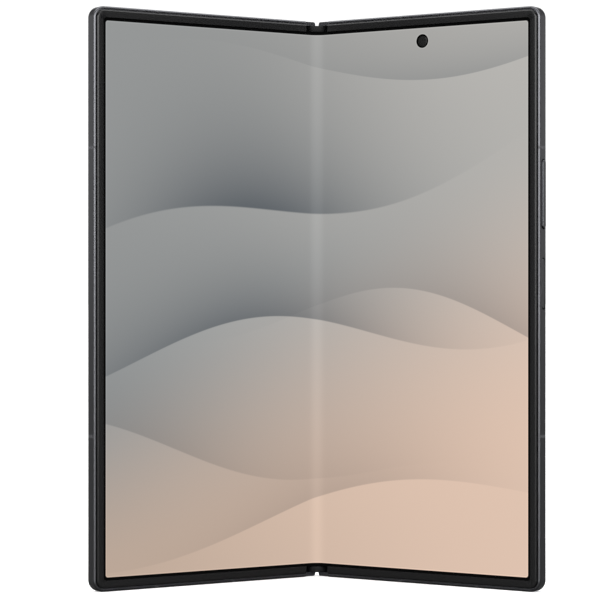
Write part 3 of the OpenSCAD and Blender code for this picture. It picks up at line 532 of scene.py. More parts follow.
def joined(parts: Sequence[BMesh]) -> BMesh:
    """Several meshes as one, each still closed by itself.

    Args:
        parts: the meshes, which are used up.

    Returns:
        The new mesh.
    """
    whole = bmesh.new()
    for part in parts:
        mesh = bpy.data.meshes.new("scratch_part")
        part.to_mesh(mesh)
        part.free()
        whole.from_mesh(mesh)
        bpy.data.meshes.remove(mesh)
    return whole


def softened(
    bm: BMesh,
    offset: float,
    segments: int = 2,
    where: Callable[[Vector], bool] | None = None,
) -> BMesh:
    """Bevels the sharp edges of a mesh.

    Args:
        bm: the mesh.
        offset: width of the bevel.
        segments: its stretches.
        where: test on an edge's middle, for bevelling only part of the mesh.

    Returns:
        The same mesh.
    """
    sharp = [
        e
        for e in bm.edges
        if e.is_manifold
        and e.calc_face_angle() > BEVEL_FROM
        and (where is None or where((e.verts[0].co + e.verts[1].co) / 2))
    ]
    bmesh.ops.bevel(
        bm,
        geom=sharp,
        offset=offset,
        offset_type="OFFSET",
        segments=segments,
        profile=0.5,
        affect="EDGES",
        clamp_overlap=True,
        material=-1,
    )
    return bm


def piece(
    bm: BMesh,
    name: str,
    place: Placing,
    surface: "Surface",
    stands_for: Sequence[str],
    ride: bool = True,
) -> bpy.types.Object:
    """Makes a finished piece of a mesh in flat millimetres.

    Args:
        bm: the mesh, which is used up.
        name: the piece's name.
        place: where it goes and what it rides on.
        surface: what it's made of.
        stands_for: the CAD nodes that it replaces.
        ride: whether it rides on the placing's body.

    Returns:
        The object.
    """
    bm.transform(place.matrix)
    bmesh.ops.recalc_face_normals(bm, faces=bm.faces)
    for face in bm.faces:
        face.smooth = True
    for edge in bm.edges:
        edge.smooth = edge.is_manifold and edge.calc_face_angle() < SHARP_FROM
    mesh = bpy.data.meshes.new(name)
    bm.to_mesh(mesh)
    bm.free()
    mesh.materials.append(surface.material())
    obj = bpy.data.objects.new(name, mesh)
    bpy.context.scene.collection.objects.link(obj)
    shading = obj.modifiers.new("shading", "WEIGHTED_NORMAL")
    shading.keep_sharp = True
    if ride:
        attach(obj, place.body)
    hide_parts(*stands_for)
    LOG.info("%s: %d faces", name, len(mesh.polygons))
    return obj


def dress(surface: "Surface", *nodes: str) -> None:
    """Gives CAD nodes that stay in view a surface.

    Args:
        surface: what they're made of.
        nodes: the nodes' names.
    """
    for name in nodes:
        mesh = frame["nodes"][name].data
        mesh.materials.clear()
        mesh.materials.append(surface.material())
        LOG.info("%s: dressed in %s", name, surface.name)


# Shader helpers


def linear(red: float, green: float, blue: float) -> Colour:
    """Turns a display tone of 0 to 255 into a scene-linear colour."""
    tones = (t / 255 for t in (red, green, blue))
    return tuple(t / 12.92 if t <= 0.04045 else ((t + 0.055) / 1.055) ** 2.4 for t in tones)


@dataclass(frozen=True)
class Graph:
    """Adds nodes to a node tree."""

    tree: bpy.types.NodeTree

    def feed(self, socket: bpy.types.NodeSocket, value: object) -> None:
        """Links a socket to the value if it's a socket too, or sets it.

        Args:
            socket: the input.
            value: an output to link, or a constant.
        """
        if isinstance(value, bpy.types.NodeSocket):
            self.tree.links.new(value, socket)
        else:
            socket.default_value = value

    def add(self, kind: str, feeds: dict | None = None, **settings: object) -> bpy.types.Node:
        """Adds a node.

        Args:
            kind: its type, without the ShaderNode before it.
            feeds: what goes into its inputs, by name or number.
            settings: its own properties.

        Returns:
            The node.
        """
        node = self.tree.nodes.new(f"ShaderNode{kind}")
        for name, value in settings.items():
            setattr(node, name, value)
        self.fill(node, feeds or {})
        return node

    def fill(self, node: bpy.types.Node, feeds: dict) -> None:
        """Feeds several inputs of a node, by name or number."""
        for key, value in feeds.items():
            self.feed(node.inputs[key], value)

    def math(self, operation: str, *values: object, clamp: bool = False) -> bpy.types.NodeSocket:
        """The result of a Math node on the values."""
        feeds = dict(enumerate(values))
        return self.add("Math", feeds, operation=operation, use_clamp=clamp).outputs[0]

    def mix(self, share: object, first: object, second: object) -> bpy.types.NodeSocket:
        """The colour between two colours at a share."""
        node = self.add("Mix", {0: share, 6: first, 7: second}, data_type="RGBA")
        return node.outputs[2]

    def ramp(self, value: object, low: float, high: float) -> bpy.types.NodeSocket:
        """A smooth step from 0 at low to 1 at high."""
        feeds = {"Value": value, "From Min": low, "From Max": high}
        return self.add("MapRange", feeds, interpolation_type="SMOOTHSTEP").outputs[0]


class Kind(Enum):
    """Socket types of the shader groups."""

    FLOAT = "NodeSocketFloat"
    VECTOR = "NodeSocketVector"
    COLOUR = "NodeSocketColor"


Sockets = tuple[tuple[str, Kind], ...]


def floats(*names: str) -> Sockets:
    """Sockets for plain numbers."""
    return tuple((name, Kind.FLOAT) for name in names)


@dataclass(frozen=True)
class Group:
    """A shader node group with named inputs and outputs."""

    name: str
    takes: Sockets
    gives: Sockets
    build: Callable[[Graph, dict, dict], None]

    def tree(self) -> bpy.types.NodeTree:
        """The group's tree, which is built at first use."""
        found = bpy.data.node_groups.get(self.name)
        if found:
            return found
        tree = bpy.data.node_groups.new(self.name, "ShaderNodeTree")
        for way, sockets in (("INPUT", self.takes), ("OUTPUT", self.gives)):
            for name, kind in sockets:
                tree.interface.new_socket(name=name, in_out=way, socket_type=kind.value)
        start = tree.nodes.new("NodeGroupInput").outputs
        end = tree.nodes.new("NodeGroupOutput").inputs
        self.build(Graph(tree), start, end)
        return tree

    def use(self, graph: Graph, feeds: dict) -> dict:
        """Puts the group in a tree.

        Args:
            graph: the tree's helper.
            feeds: what goes into the inputs, by name.

        Returns:
            Its outputs.
        """
        return graph.add("Group", feeds, node_tree=self.tree()).outputs


def build_grain(graph: Graph, start: dict, end: dict) -> None:
    """Fine grain: noise that moves the roughness and dents the surface.

    Args:
        graph: the group's helper.
        start: its inputs.
        end: its outputs.
    """
    feeds = {"Vector": start["Place"], "Scale": start["Scale"], "Detail": 3.0}
    noise = graph.add("TexNoise", feeds).outputs["Fac"]
    centred = graph.math("SUBTRACT", noise, 0.5)
    swing = graph.math("MULTIPLY", centred, start["Spread"])
    graph.feed(end["Roughness"], graph.math("ADD", start["Roughness"], swing, clamp=True))
    bump = {"Strength": start["Strength"], "Distance": start["Depth"], "Height": noise}
    graph.feed(end["Normal"], graph.add("Bump", bump).outputs[0])


GRAIN = Group(
    "surface_grain",
    (("Place", Kind.VECTOR), *floats("Scale", "Roughness", "Spread", "Strength", "Depth")),
    (("Roughness", Kind.FLOAT), ("Normal", Kind.VECTOR)),
    build_grain,
)


def build_window(graph: Graph, start: dict, end: dict) -> None:
    """Inside of a rectangle with round corners, centred on 0.

    Args:
        graph: the group's helper.
        start: its inputs.
        end: its outputs.
    """
    place = graph.add("SeparateXYZ", {0: start["Place"]}).outputs
    over = []
    for axis, half in (("X", "Half Width"), ("Y", "Half Height")):
        reach = graph.math("SUBTRACT", start[half], start["Corner"])
        side = graph.math("ABSOLUTE", place[axis])
        over.append(graph.math("SUBTRACT", side, reach))
    outside = [graph.math("MAXIMUM", o, 0.0) for o in over]
    squares = [graph.math("MULTIPLY", o, o) for o in outside]
    length = graph.math("SQRT", graph.math("ADD", *squares))
    inner = graph.math("MINIMUM", graph.math("MAXIMUM", *over), 0.0)
    distance = graph.math("SUBTRACT", graph.math("ADD", length, inner), start["Corner"])
    scaled = graph.math("DIVIDE", distance, start["Edge"])
    graph.feed(end["Inside"], graph.ramp(scaled, 0.5, -0.5))
    glow = graph.math("DIVIDE", graph.math("ADD", distance, start["Band"]), start["Edge"])
    graph.feed(end["Near Edge"], graph.ramp(glow, -1.0, 1.0))


WINDOW = Group(
    "round_window",
    (("Place", Kind.VECTOR), *floats("Half Width", "Half Height", "Corner", "Edge", "Band")),
    floats("Inside", "Near Edge"),
    build_window,
)


def build_dune(graph: Graph, start: dict, end: dict) -> None:
    """One ridge of a soft dune: lit below its crest, and shading what lies behind it.

    Args:
        graph: the group's helper.
        start: its inputs.
        end: its outputs.
    """
    place = graph.add("SeparateXYZ", {0: start["Place"]}).outputs
    angle = graph.math("MULTIPLY_ADD", place["X"], start["Waves"], start["Phase"])
    rise = graph.math("MULTIPLY_ADD", place["X"], start["Slope"], start["Height"])
    crest = graph.math("MULTIPLY_ADD", graph.math("SINE", angle), start["Swing"], rise)
    up = graph.math("DIVIDE", graph.math("SUBTRACT", place["Y"], crest), start["Reach"])
    below = graph.ramp(up, 0.012, -0.012)
    fade = graph.math("EXPONENT", graph.math("MULTIPLY", graph.math("ABSOLUTE", up), -1.0))
    aside = graph.math("SUBTRACT", place["X"], start["Middle"])
    aside = graph.math("DIVIDE", aside, start["Width"])
    bell = graph.math("EXPONENT", graph.math("MULTIPLY", graph.math("POWER", aside, 2.0), -1.0))
    edge = graph.math("MULTIPLY", fade, bell)
    light = graph.math("MULTIPLY_ADD", edge, start["Light"], 1.0)
    lit = graph.add("VectorMath", {0: start["Colour"], "Scale": light}, operation="SCALE")
    feeds = {0: start["Colour"], 1: start["Tint"]}
    dark = graph.add("VectorMath", feeds, operation="MULTIPLY").outputs[0]
    shade = graph.math("MULTIPLY", edge, start["Shade"])
    shaded = graph.mix(shade, start["Colour"], dark)
    graph.feed(end["Colour"], graph.mix(below, shaded, lit.outputs[0]))


DUNE = Group(
    "soft_dune",
    (
        ("Place", Kind.VECTOR),
        ("Colour", Kind.COLOUR),
        ("Tint", Kind.COLOUR),
        *floats("Height", "Slope", "Swing", "Waves", "Phase"),
        *floats("Reach", "Light", "Shade", "Middle", "Width"),
    ),
    (("Colour", Kind.COLOUR),),
    build_dune,
)


# Finishes

COAT_ROUGHNESS = 0.04


@dataclass(frozen=True)
class Surface(ABC):
    """What a piece is made of."""

    name: str

    @abstractmethod
    def build(self, graph: Graph, shader: bpy.types.Node) -> None:
        """Sets the material's shader up.

        Args:
            graph: the material's helper.
            shader: its shader.
        """

    def material(self) -> bpy.types.Material:
        """The material, which is built at first use."""
        found = bpy.data.materials.get(self.name)
        if found:
            return found
        made = bpy.data.materials.new(self.name)
        made.use_nodes = True
        self.build(Graph(made.node_tree), made.node_tree.nodes["Principled BSDF"])
        return made


@dataclass(frozen=True)
class Finish(Surface):
    """A finish with constants of its own and fine grain.

    Attributes:
        colour: scene-linear colour.
        metallic: share of metal.
        roughness: middle roughness.
        spread: how far the grain moves the roughness.
        grain: grains per metre.
        depth: depth of the grain's dents in millimetres.
        stretch: stretch of the grain along each axis.
        coat: weight of a clear coat.
        transmission: share of light that passes.
        ior: refractive index.
        sheen: level of the plain reflection.
    """

    colour: Colour
    metallic: float = 0.0
    roughness: float = 0.4
    spread: float = 0.06
    grain: float = 5000.0
    depth: float = 0.002
    stretch: Triple = (1.0, 1.0, 1.0)
    coat: float = 0.0
    transmission: float = 0.0
    ior: float = 1.5
    sheen: float = 0.5

    def tint(self, graph: Graph, place: bpy.types.NodeSocket) -> bpy.types.NodeSocket | None:
        """A colour that varies over the surface, or None for a plain one."""
        return None

    def build(self, graph: Graph, shader: bpy.types.Node) -> None:
        """Sets the shader's constants, and its roughness and normal from the grain.

        Args:
            graph: the material's helper.
            shader: its shader.
        """
        constants = {
            "Base Color": (*self.colour, 1),
            "Metallic": self.metallic,
            "IOR": self.ior,
            "Coat Weight": self.coat,
            "Coat Roughness": COAT_ROUGHNESS,
            "Transmission Weight": self.transmission,
            "Specular IOR Level": self.sheen,
        }
        graph.fill(shader, constants)
        place = graph.add("TexCoord").outputs["Object"]
        colour = self.tint(graph, place)
        if colour:
            graph.feed(shader.inputs["Base Color"], colour)
        stretched = graph.add("VectorMath", {0: place, 1: self.stretch}, operation="MULTIPLY")
        feeds = {
            "Place": stretched.outputs[0],
            "Scale": self.grain,
            "Roughness": self.roughness,
            "Spread": self.spread,
            "Strength": 1.0,
            "Depth": self.depth * MM,
        }
        grain = GRAIN.use(graph, feeds)
        graph.fill(shader, {word: grain[word] for word in ("Roughness", "Normal")})


@dataclass(frozen=True)
class Speckled(Finish):
    """A finish whose colour drifts softly towards a second one."""

    second: Colour = (0.0, 0.0, 0.0)
    patch: float = 60.0

    def tint(self, graph: Graph, place: bpy.types.NodeSocket) -> bpy.types.NodeSocket:
        """A colour between both, by broad noise."""
        noise = graph.add("TexNoise", {"Vector": place, "Scale": self.patch}).outputs["Fac"]
        share = graph.ramp(noise, 0.35, 0.65)
        return graph.mix(share, (*self.colour, 1), (*self.second, 1))


@dataclass(frozen=True)
class Ridge:
    """One ridge of the screen's picture, in shares of the screen's height.

    Its crest runs at ``height``, rises by ``slope`` and swings in ``waves`` from ``phase``.
    Light and shade reach ``reach`` from it, and ``width`` to each side of ``middle``.
    """

    height: float
    slope: float
    swing: float
    waves: float
    phase: float
    reach: float
    light: float
    shade: float
    middle: float
    width: float

    def feeds(self) -> dict[str, float]:
        """The ridge's numbers by the names of the group's inputs."""
        return {name.title(): value for name, value in vars(self).items()}


@dataclass(frozen=True)
class Picture(Surface):
    """The lit screen: soft dunes that run from cool grey to warm sand.

    Attributes:
        height: height of the phone in millimetres.
        half_width: from the fold to the picture's side, along the screen.
        half_height: from the middle to the picture's top.
        hole: place of the camera hole from the middle of the screen.
        hole_r: its radius.
        corner: radius of the picture's corners.
        edge: width over which it fades into the black border.
        hole_edge: width over which it fades into the camera hole.
        band: width of the lighter line along its edge.
        hole_band: distances from the hole between which such a line fades in.
        edge_lift: how much lighter these lines are.
        fold_band: half width of the painted highlight along the fold, a lighter band that stands in
            for the fold's reflection.
        fold_lift: how much lighter that painted highlight is.
        off: colour of the screen where it's dark.
        gloss: level of its plain reflection.
        rough: its roughness where it's dark and where it's lit.
        cool: upper tones, at the left and at the right.
        warm: lower tones, at the left and at the right.
        warm_from: height where the tones start to warm: its rise to the right, and its start.
        warm_over: height over which they warm, in the same way.
        tint: what the dunes' shade multiplies the tones by.
        ridges: the dunes from the back to the front.
    """

    height: float
    half_width: float
    half_height: float
    hole: Point
    hole_r: float
    corner: float = 0.65
    edge: float = 0.08
    hole_edge: float = 0.06
    band: float = 0.28
    hole_band: Point = (0.38, 0.2)
    edge_lift: float = 0.2
    # Painted highlight: a lighter band along the fold that stands in for the light the bent screen
    # reflects there.
    fold_band: float = 1.7
    fold_lift: float = 0.1
    off: Colour = (0.0006, 0.0006, 0.0007)
    gloss: float = 0.05
    rough: Point = (0.9, 0.3)
    cool: tuple[Colour, Colour] = (linear(149, 151, 151), linear(181, 179, 175))
    warm: tuple[Colour, Colour] = (linear(189, 168, 152), linear(222, 194, 175))
    warm_from: Point = (0.49, 0.30)
    warm_over: Point = (0.22, 0.33)
    tint: Colour = (0.30, 0.34, 0.39)
    ridges: tuple[Ridge, ...] = (
        Ridge(0.90, 0.04, 0.045, 6.0, 0.2, 0.07, 0.04, 0.40, 0.80, 0.30),
        Ridge(0.56, 0.24, 0.050, 6.2, 0.6, 0.15, 0.06, 0.92, 0.38, 0.26),
        Ridge(0.50, -0.06, 0.060, 7.0, 3.1, 0.10, 0.05, 0.45, 0.88, 0.30),
        Ridge(0.38, 0.10, 0.050, 6.6, 5.4, 0.11, 0.08, 0.80, 0.36, 0.34),
        Ridge(0.26, -0.10, 0.040, 7.4, 1.6, 0.12, 0.03, 0.34, 0.16, 0.30),
        Ridge(0.06, 0.12, 0.040, 6.0, 3.9, 0.11, 0.05, 0.36, 0.52, 0.30),
    )

    def base(self, graph: Graph, place: bpy.types.NodeSocket) -> bpy.types.NodeSocket:
        """Colour behind the dunes.

        Args:
            graph: the material's helper.
            place: place on the screen, in shares of its height.

        Returns:
            The colour.
        """
        part = graph.add("SeparateXYZ", {0: place}).outputs
        across = graph.ramp(part["X"], 0.0, 1.0)
        upper, lower = (
            graph.mix(across, (*left, 1), (*right, 1)) for left, right in (self.cool, self.warm)
        )
        start = graph.math("MULTIPLY_ADD", part["X"], *self.warm_from)
        depth = graph.math("MULTIPLY_ADD", part["X"], *self.warm_over)
        share = graph.math("DIVIDE", graph.math("SUBTRACT", start, part["Y"]), depth)
        return graph.mix(graph.ramp(share, -0.1, 1.0), upper, lower)

    def dunes(self, graph: Graph, place: bpy.types.NodeSocket) -> bpy.types.NodeSocket:
        """Colour of the picture.

        Args:
            graph: the material's helper.
            place: place on the screen, in shares of its height.

        Returns:
            The colour.
        """
        colour = self.base(graph, place)
        for ridge in self.ridges:
            feeds = {"Place": place, "Colour": colour, "Tint": (*self.tint, 1)} | ridge.feeds()
            colour = DUNE.use(graph, feeds)["Colour"]
        return colour

    def lift(
        self, graph: Graph, across: bpy.types.NodeSocket, near: bpy.types.NodeSocket
    ) -> bpy.types.NodeSocket:
        """How much lighter the picture is along its edges and along the fold.

        Args:
            graph: the material's helper.
            across: place across the screen from the fold, in shares of its height.
            near: nearness to the picture's edges.

        Returns:
            The factor, which includes the painted highlight along the fold.
        """
        # Painted highlight along the fold: a soft bell of extra brightness that stands in for the
        # fold's reflection.
        aside = graph.math("MULTIPLY", across, self.height / self.fold_band)
        falling = graph.math("MULTIPLY", aside, graph.math("MULTIPLY", aside, -1.0))
        bell = graph.math("EXPONENT", falling)
        sheen = graph.math("MULTIPLY_ADD", bell, self.fold_lift, 1.0)
        return graph.math("MULTIPLY_ADD", near, self.edge_lift, sheen)

    def build(self, graph: Graph, shader: bpy.types.Node) -> None:
        """Lights the picture inside its border and round the camera hole.

        Args:
            graph: the material's helper.
            shader: its shader.
        """
        black = (*self.off, 1)
        constants = {"Base Color": black, "Specular IOR Level": self.gloss, "Emission Strength": 1.0}
        graph.fill(shader, constants)
        place = graph.add("UVMap", uv_map="picture").outputs[0]
        feeds = {0: place, 1: (0.5, 0.5, 0)}
        centred = graph.add("VectorMath", feeds, operation="SUBTRACT").outputs[0]
        lengths = {
            "Half Width": self.half_width,
            "Half Height": self.half_height,
            "Corner": self.corner,
            "Edge": self.edge,
            "Band": self.band,
        }
        shares = {word: length / self.height for word, length in lengths.items()}
        window = WINDOW.use(graph, {"Place": centred} | shares)
        dark, lit = self.rough
        matt = graph.math("MULTIPLY_ADD", window["Inside"], lit - dark, dark)
        graph.feed(shader.inputs["Roughness"], matt)
        hole = (self.hole[0] / self.height, self.hole[1] / self.height, 0)
        away = graph.add("VectorMath", {0: centred, 1: hole}, operation="DISTANCE").outputs["Value"]
        far, close = ((self.hole_r + beyond) / self.height for beyond in self.hole_band)
        near = graph.math("MAXIMUM", window["Near Edge"], graph.ramp(away, far, close))
        across = graph.add("SeparateXYZ", {0: centred}).outputs["X"]
        start = self.hole_r / self.height
        beyond = graph.ramp(away, start, start + self.hole_edge / self.height)
        lit_up = graph.math("MULTIPLY", window["Inside"], beyond)
        shown = graph.math("MULTIPLY", self.lift(graph, across, near), lit_up)
        feeds = {0: self.dunes(graph, place), "Scale": shown}
        seen = graph.add("VectorMath", feeds, operation="SCALE").outputs[0]
        graph.feed(shader.inputs["Emission Color"], seen)


@dataclass(frozen=True)
class Finishes:
    """The phone's finishes."""

    metal: Finish = Finish("anodised_metal", (0.099, 0.100, 0.107), 1.0, 0.3, 0.05, 9000, 0.0004)
    band: Finish = Finish("antenna_plastic", (0.012, 0.0125, 0.014), 0.0, 0.42)
    plastic: Finish = Finish(
        "satin_plastic", (0.007, 0.007, 0.0073), 0.0, 0.24, 0.02, 7000, 0.0005, sheen=0.33
    )
    moulded: Finish = Finish("moulded_plastic", (0.012, 0.012, 0.013), 0.0, 0.5, 0.08, 4000, 0.004)
    cap: Finish = Finish(
        "cap_plastic", (0.003, 0.003, 0.0032), 0.0, 0.5, 0.08, 4000, 0.003, sheen=0.14
    )
    hinge: Finish = Finish("hinge_metal", (0.16, 0.162, 0.17), 1.0, 0.28, 0.08, 5000, 0.001)
    steel: Finish = Finish(
        "brushed_steel", (0.42, 0.42, 0.43), 1.0, 0.3, 0.14, 5000, 0.002, (1, 1, 0.03)
    )
    frosted: Finish = Speckled(
        "frosted_glass",
        (0.021, 0.023, 0.028),
        0.0,
        0.36,
        0.05,
        12000,
        0.0006,
        coat=0.15,
        second=(0.024, 0.026, 0.030),
        patch=30.0,
    )
    clear: Finish = Finish("clear_glass", (0.93, 0.95, 0.96), 0.0, 0.03, 0.01, 40, 0.0, transmission=1)
    coated: Finish = Finish("coated_lens", (0.02, 0.016, 0.05), 0.0, 0.05, 0.02, 900, 0.0, coat=1)
    camera: Finish = Finish(
        "inner_lens", (0.014, 0.014, 0.014), 0.0, 0.2, 0.02, 900, 0.0, sheen=0.12
    )
    ring: Finish = Finish(
        "matt_black", (0.0006, 0.0006, 0.0006), 0.0, 0.7, 0.04, 900, 0.0, sheen=0.01
    )
    black: Finish = Finish("black_panel", (0.006, 0.006, 0.008), 0.0, 0.2, 0.04, 900, 0.0)
    board: Finish = Speckled(
        "circuit_board",
        (0.010, 0.045, 0.030),
        0.0,
        0.35,
        second=(0.016, 0.065, 0.042),
        patch=500.0,
    )
    copper: Finish = Finish("copper", (0.62, 0.27, 0.12), 1.0, 0.32, 0.1, 5000, 0.001)
    gold: Finish = Finish("gold_contacts", (0.80, 0.55, 0.24), 1.0, 0.22)
    cell: Finish = Speckled(
        "cell_wrap",
        (0.045, 0.046, 0.050),
        0.0,
        0.42,
        0.1,
        900,
        0.01,
        second=(0.060, 0.061, 0.066),
        patch=90.0,
    )
    light: Finish = Finish("flash_diode", (0.85, 0.66, 0.25), 0.0, 0.35)


@dataclass(frozen=True)
class Shop:
    """What every sub-assembly needs to be built.

    Attributes:
        body: the shared sizes.
        finishes: the finishes.
    """

    body: Body
    finishes: Finishes

    def half(self, side: Side) -> Placing:
        """Placing of one half."""
        return half_placing(side, self.body.axis_depth)

    def spine(self) -> Placing:
        """Placing of the spine, with the depth measured as on the halves."""
        axis = fold_facts()[0]
        shift = Matrix.Translation((0, axis.y - self.body.axis_depth, 0))
        return Placing("spine", Matrix.Scale(MM, 4) @ shift)


@dataclass
class Part(ABC):
    """A sub-assembly.

    Attributes:
        shop: sizes and finishes.
        side: the half that it stands on, or None for the spine.
    """

    shop: Shop
    side = Side.RIGHT

    @property
    def place(self) -> Placing:
        """Placing of what it stands on."""
        return self.shop.spine() if self.side is None else self.shop.half(self.side)

    @abstractmethod
    def build(self) -> None:
        """Builds its pieces."""


def rim_section(body: Body, inner: float) -> list[Point]:
    """Section of the rim as distance in from the outer face and depth.

    Args:
        body: the shared sizes.
        inner: distance of its inner face.

    Returns:
        The points.
    """
    front = arc(body.front_round, body.lip_y, body.front_round, 180, 270)
    back_y = body.half_t - body.back_round
    back = arc(body.back_round, back_y, body.back_round, 90, 180, 12)
    inside = [
        (body.lip_w, body.lip_drop),
        (body.lip_w, body.seat),
        (inner, body.seat),
        (inner, body.glass_y),
    ]
    if inner > body.glass_edge:
        inside += [(body.glass_edge, body.glass_y), (body.glass_edge, body.half_t)]
    else:
        inside += [(inner, body.half_t)]
    return front + inside + back[:-1] + [(0.0, back_y)]


@dataclass
class Shell(Part):
    """Metal frame of one half, with its antenna bands and the bezel round the screen.

    Rooms and slots are pairs of depths, and ``cable_span`` and ``notch`` are heights: of
    the ribbon cable's slot, and of the recess and the round at the fold. ``speaker_in``,
    ``key_room``, ``band_in`` and ``bezel_out`` count from the outer face, ``mid_start`` and
    ``band_start`` from the fold, ``band_tops`` from the top, and ``mic_off`` from the
    port's middle. ``inner_turn`` is the radius of the bezel's inner corners, found by their
    lying past ``edge_zone``, and ``bezel_ledge`` the ledge's depth and place.
    """

    side: Side = Side.RIGHT
    speaker_r: float = 0.55
    speaker_holes: int = 6
    speaker_pitch: float = 1.9
    speaker_in: float = 17.6
    mic_r: float = 0.4
    mic_off: float = 10.17
    key_gap: float = 0.07
    key_end_gap: float = 0.3
    key_room: float = 3.6
    camera_r: float = 2.05
    camera_room: Point = (0.5, 2.0)
    module_room: Point = (1.15, 2.0)
    notch: Point = (2.6, 1.1)
    arm_w: float = 5.0
    slot_gap: float = 0.15
    arm_slot: Point = (1.75, 2.35)
    sync_slot: Point = (1.5, 2.5)
    cable_slot: Point = (1.8, 2.3)
    cable_span: Point = (43.7, 58.3)
    mid_start: float = 5.1
    overlap: float = 0.1
    inner_turn: float = 0.95
    edge_zone: float = 2.5
    band_w: float = 0.7
    band_deep: float = 1.1
    band_tops: Point = (38.3, 116.3)
    band_start: float = 28.0
    band_in: float = 19.6
    bezel_out: float = 0.95
    bezel_round: float = 0.5
    bezel_ledge: Point = (0.33, 2.0)

    @property
    def node(self) -> str:
        """Start of this half's node names."""
        return self.side.word

    def slot(self, depths: Point, heights: Point) -> BMesh:
        """A slot through the hinge rail, between two depths and two heights."""
        b = self.shop.body
        return block((0, depths[0], heights[0]), (b.rail_in + 1, depths[1], heights[1]))

    def arm_spans(self) -> list[Point]:
        """Heights of the hinge arms' slots."""
        low, high = self.place.box(f"{self.node}_hinge_arms")
        gap, width = self.slot_gap, self.arm_w
        return [(low.z - gap, low.z + width + gap), (high.z - width - gap, high.z + gap)]

    def notch_cuts(self, mirror: bool) -> list[BMesh]:
        """Cuts of the notch at the fold.

        Args:
            mirror: whether it's the one at the top.

        Returns:
            Closed meshes to cut away.
        """
        b = self.shop.body
        r = b.notch_round
        deep, tall = self.notch
        low, high = (b.height - deep, b.height + 1) if mirror else (-1, deep)
        corner = [(b.fold_gap + r, -1.0), (b.fold_gap - 1, -1.0), (b.fold_gap - 1, tall)]
        corner += [(b.fold_gap + r + r * x, tall + tall * z) for x, z in arc(0, 0, 1, 180, 270)]
        if mirror:
            corner = [(x, b.height - z) for x, z in corner]
        recess = block((-1, -1, low), (b.bezel_end, b.recess, high))
        return [recess, prism(corner, -1, b.half_t + 1, Along.Y)]

    def cuts(self) -> list[BMesh]:
        """Openings that both halves have.

        Returns:
            Closed meshes to cut away.
        """
        b = self.shop.body
        inner = b.height - b.end_wall
        front = b.rail_in - 0.4
        pocket = arc(b.axis_x, b.axis_depth, b.pocket_r, 0, 90, 40)
        pocket += [(-1, b.axis_depth + b.pocket_r), (-1, -1), (b.axis_x + b.pocket_r, -1)]
        made = [prism(pocket, b.end_wall, inner)]
        made.append(block((-1, -1, b.end_wall), (front, b.rail_front, inner)))
        for mirror in (False, True):
            made += self.notch_cuts(mirror)
        made += [self.slot(self.arm_slot, span) for span in self.arm_spans()]
        low, high = self.place.box(f"{self.node}_sync_arm")
        made.append(self.slot(self.sync_slot, (low.z - self.slot_gap, high.z + self.slot_gap)))
        made.append(self.slot(self.cable_slot, self.cable_span))
        return made + [block(low, high) for low, high in self.band_boxes(0.0)]

    def band_boxes(self, grow: float) -> list[Corners]:
        """Boxes of the antenna bands, each cut out of the rim.

        Args:
            grow: how far each box grows along the rim.

        Returns:
            Their corners.
        """
        b = self.shop.body
        width = self.band_w / 2 + grow
        deep = self.band_deep
        boxes = []
        for top in self.band_tops:
            z = b.height - top
            low = Vector((b.half_w - deep, -1, z - width))
            boxes.append((low, Vector((b.half_w + 1, 6, z + width))))
        for x in (self.band_start, b.half_w - self.band_in):
            for low, high in ((-1, deep), (b.height - deep, b.height + 1)):
                boxes.append((Vector((x - width, -1, low)), Vector((x + width, 6, high))))
        return boxes

    def key_cuts(self) -> list[BMesh]:
        """Openings of the keys, and the room behind them.

        Returns:
            Closed meshes to cut away.
        """
        b = self.shop.body
        rocker, side_key = (self.place.box(node) for node in ("volume_rocker", "side_key"))
        gaps = (self.key_gap, self.key_end_gap)
        reach = (b.half_w - 2.6, b.half_w + 1)
        made = [key_bar(b, box, gaps, reach, 10) for box in (rocker, side_key)]
        low = (b.half_w - self.key_room, b.seat - 0.01, side_key[0].z - 0.5)
        high = (b.half_w - b.rim_w, b.mid_back + 1, rocker[1].z + 0.5)
        return made + [block(low, high)]

    def end_cuts(self) -> list[BMesh]:
        """Openings of the port, the loudspeaker and the microphones.

        Returns:
            Closed meshes to cut away.
        """
        b = self.shop.body
        low, high = box = self.place.box("usb_c_port")
        room = (high.x + 0.3, b.mid_back + 1, high.z + 0.1)
        made = [
            slot_bar(box, 0.04, -1, b.rim_w + 1),
            block((low.x - 0.3, b.seat - 0.01, b.rim_w), room),
        ]
        x, y, _ = middle(low, high)
        start = b.half_w - self.speaker_in
        places = [start + i * self.speaker_pitch for i in range(self.speaker_holes)]
        holes = [(place_x, self.speaker_r, 0.0) for place_x in places]
        holes += [(x - self.mic_off, self.mic_r, z) for z in (0.0, b.height)]
        for hole_x, r, z in holes:
            ring = arc(hole_x, y, r, 0, 345, 23)
            made.append(prism(ring, z - b.rim_w - 1, z + b.rim_w + 1))
        return made

    def own_cuts(self) -> list[BMesh]:
        """Openings of this half only.

        Returns:
            Closed meshes to cut away.
        """
        b = self.shop.body
        if self.side is Side.LEFT:
            return [slot_bar(self.place.box("card_tray"), 0.16, b.height - 3, b.height + 1, 10)]
        made = self.key_cuts() + self.end_cuts()
        x, _, z = middle(*self.place.box("inner_camera"))
        made.append(bore(self.camera_r, x, z, *self.camera_room, 48))
        r = b.module_side / 2
        return made + [bore(r, x, z, *self.module_room, 48) for x, z in camera_places(self.shop)]

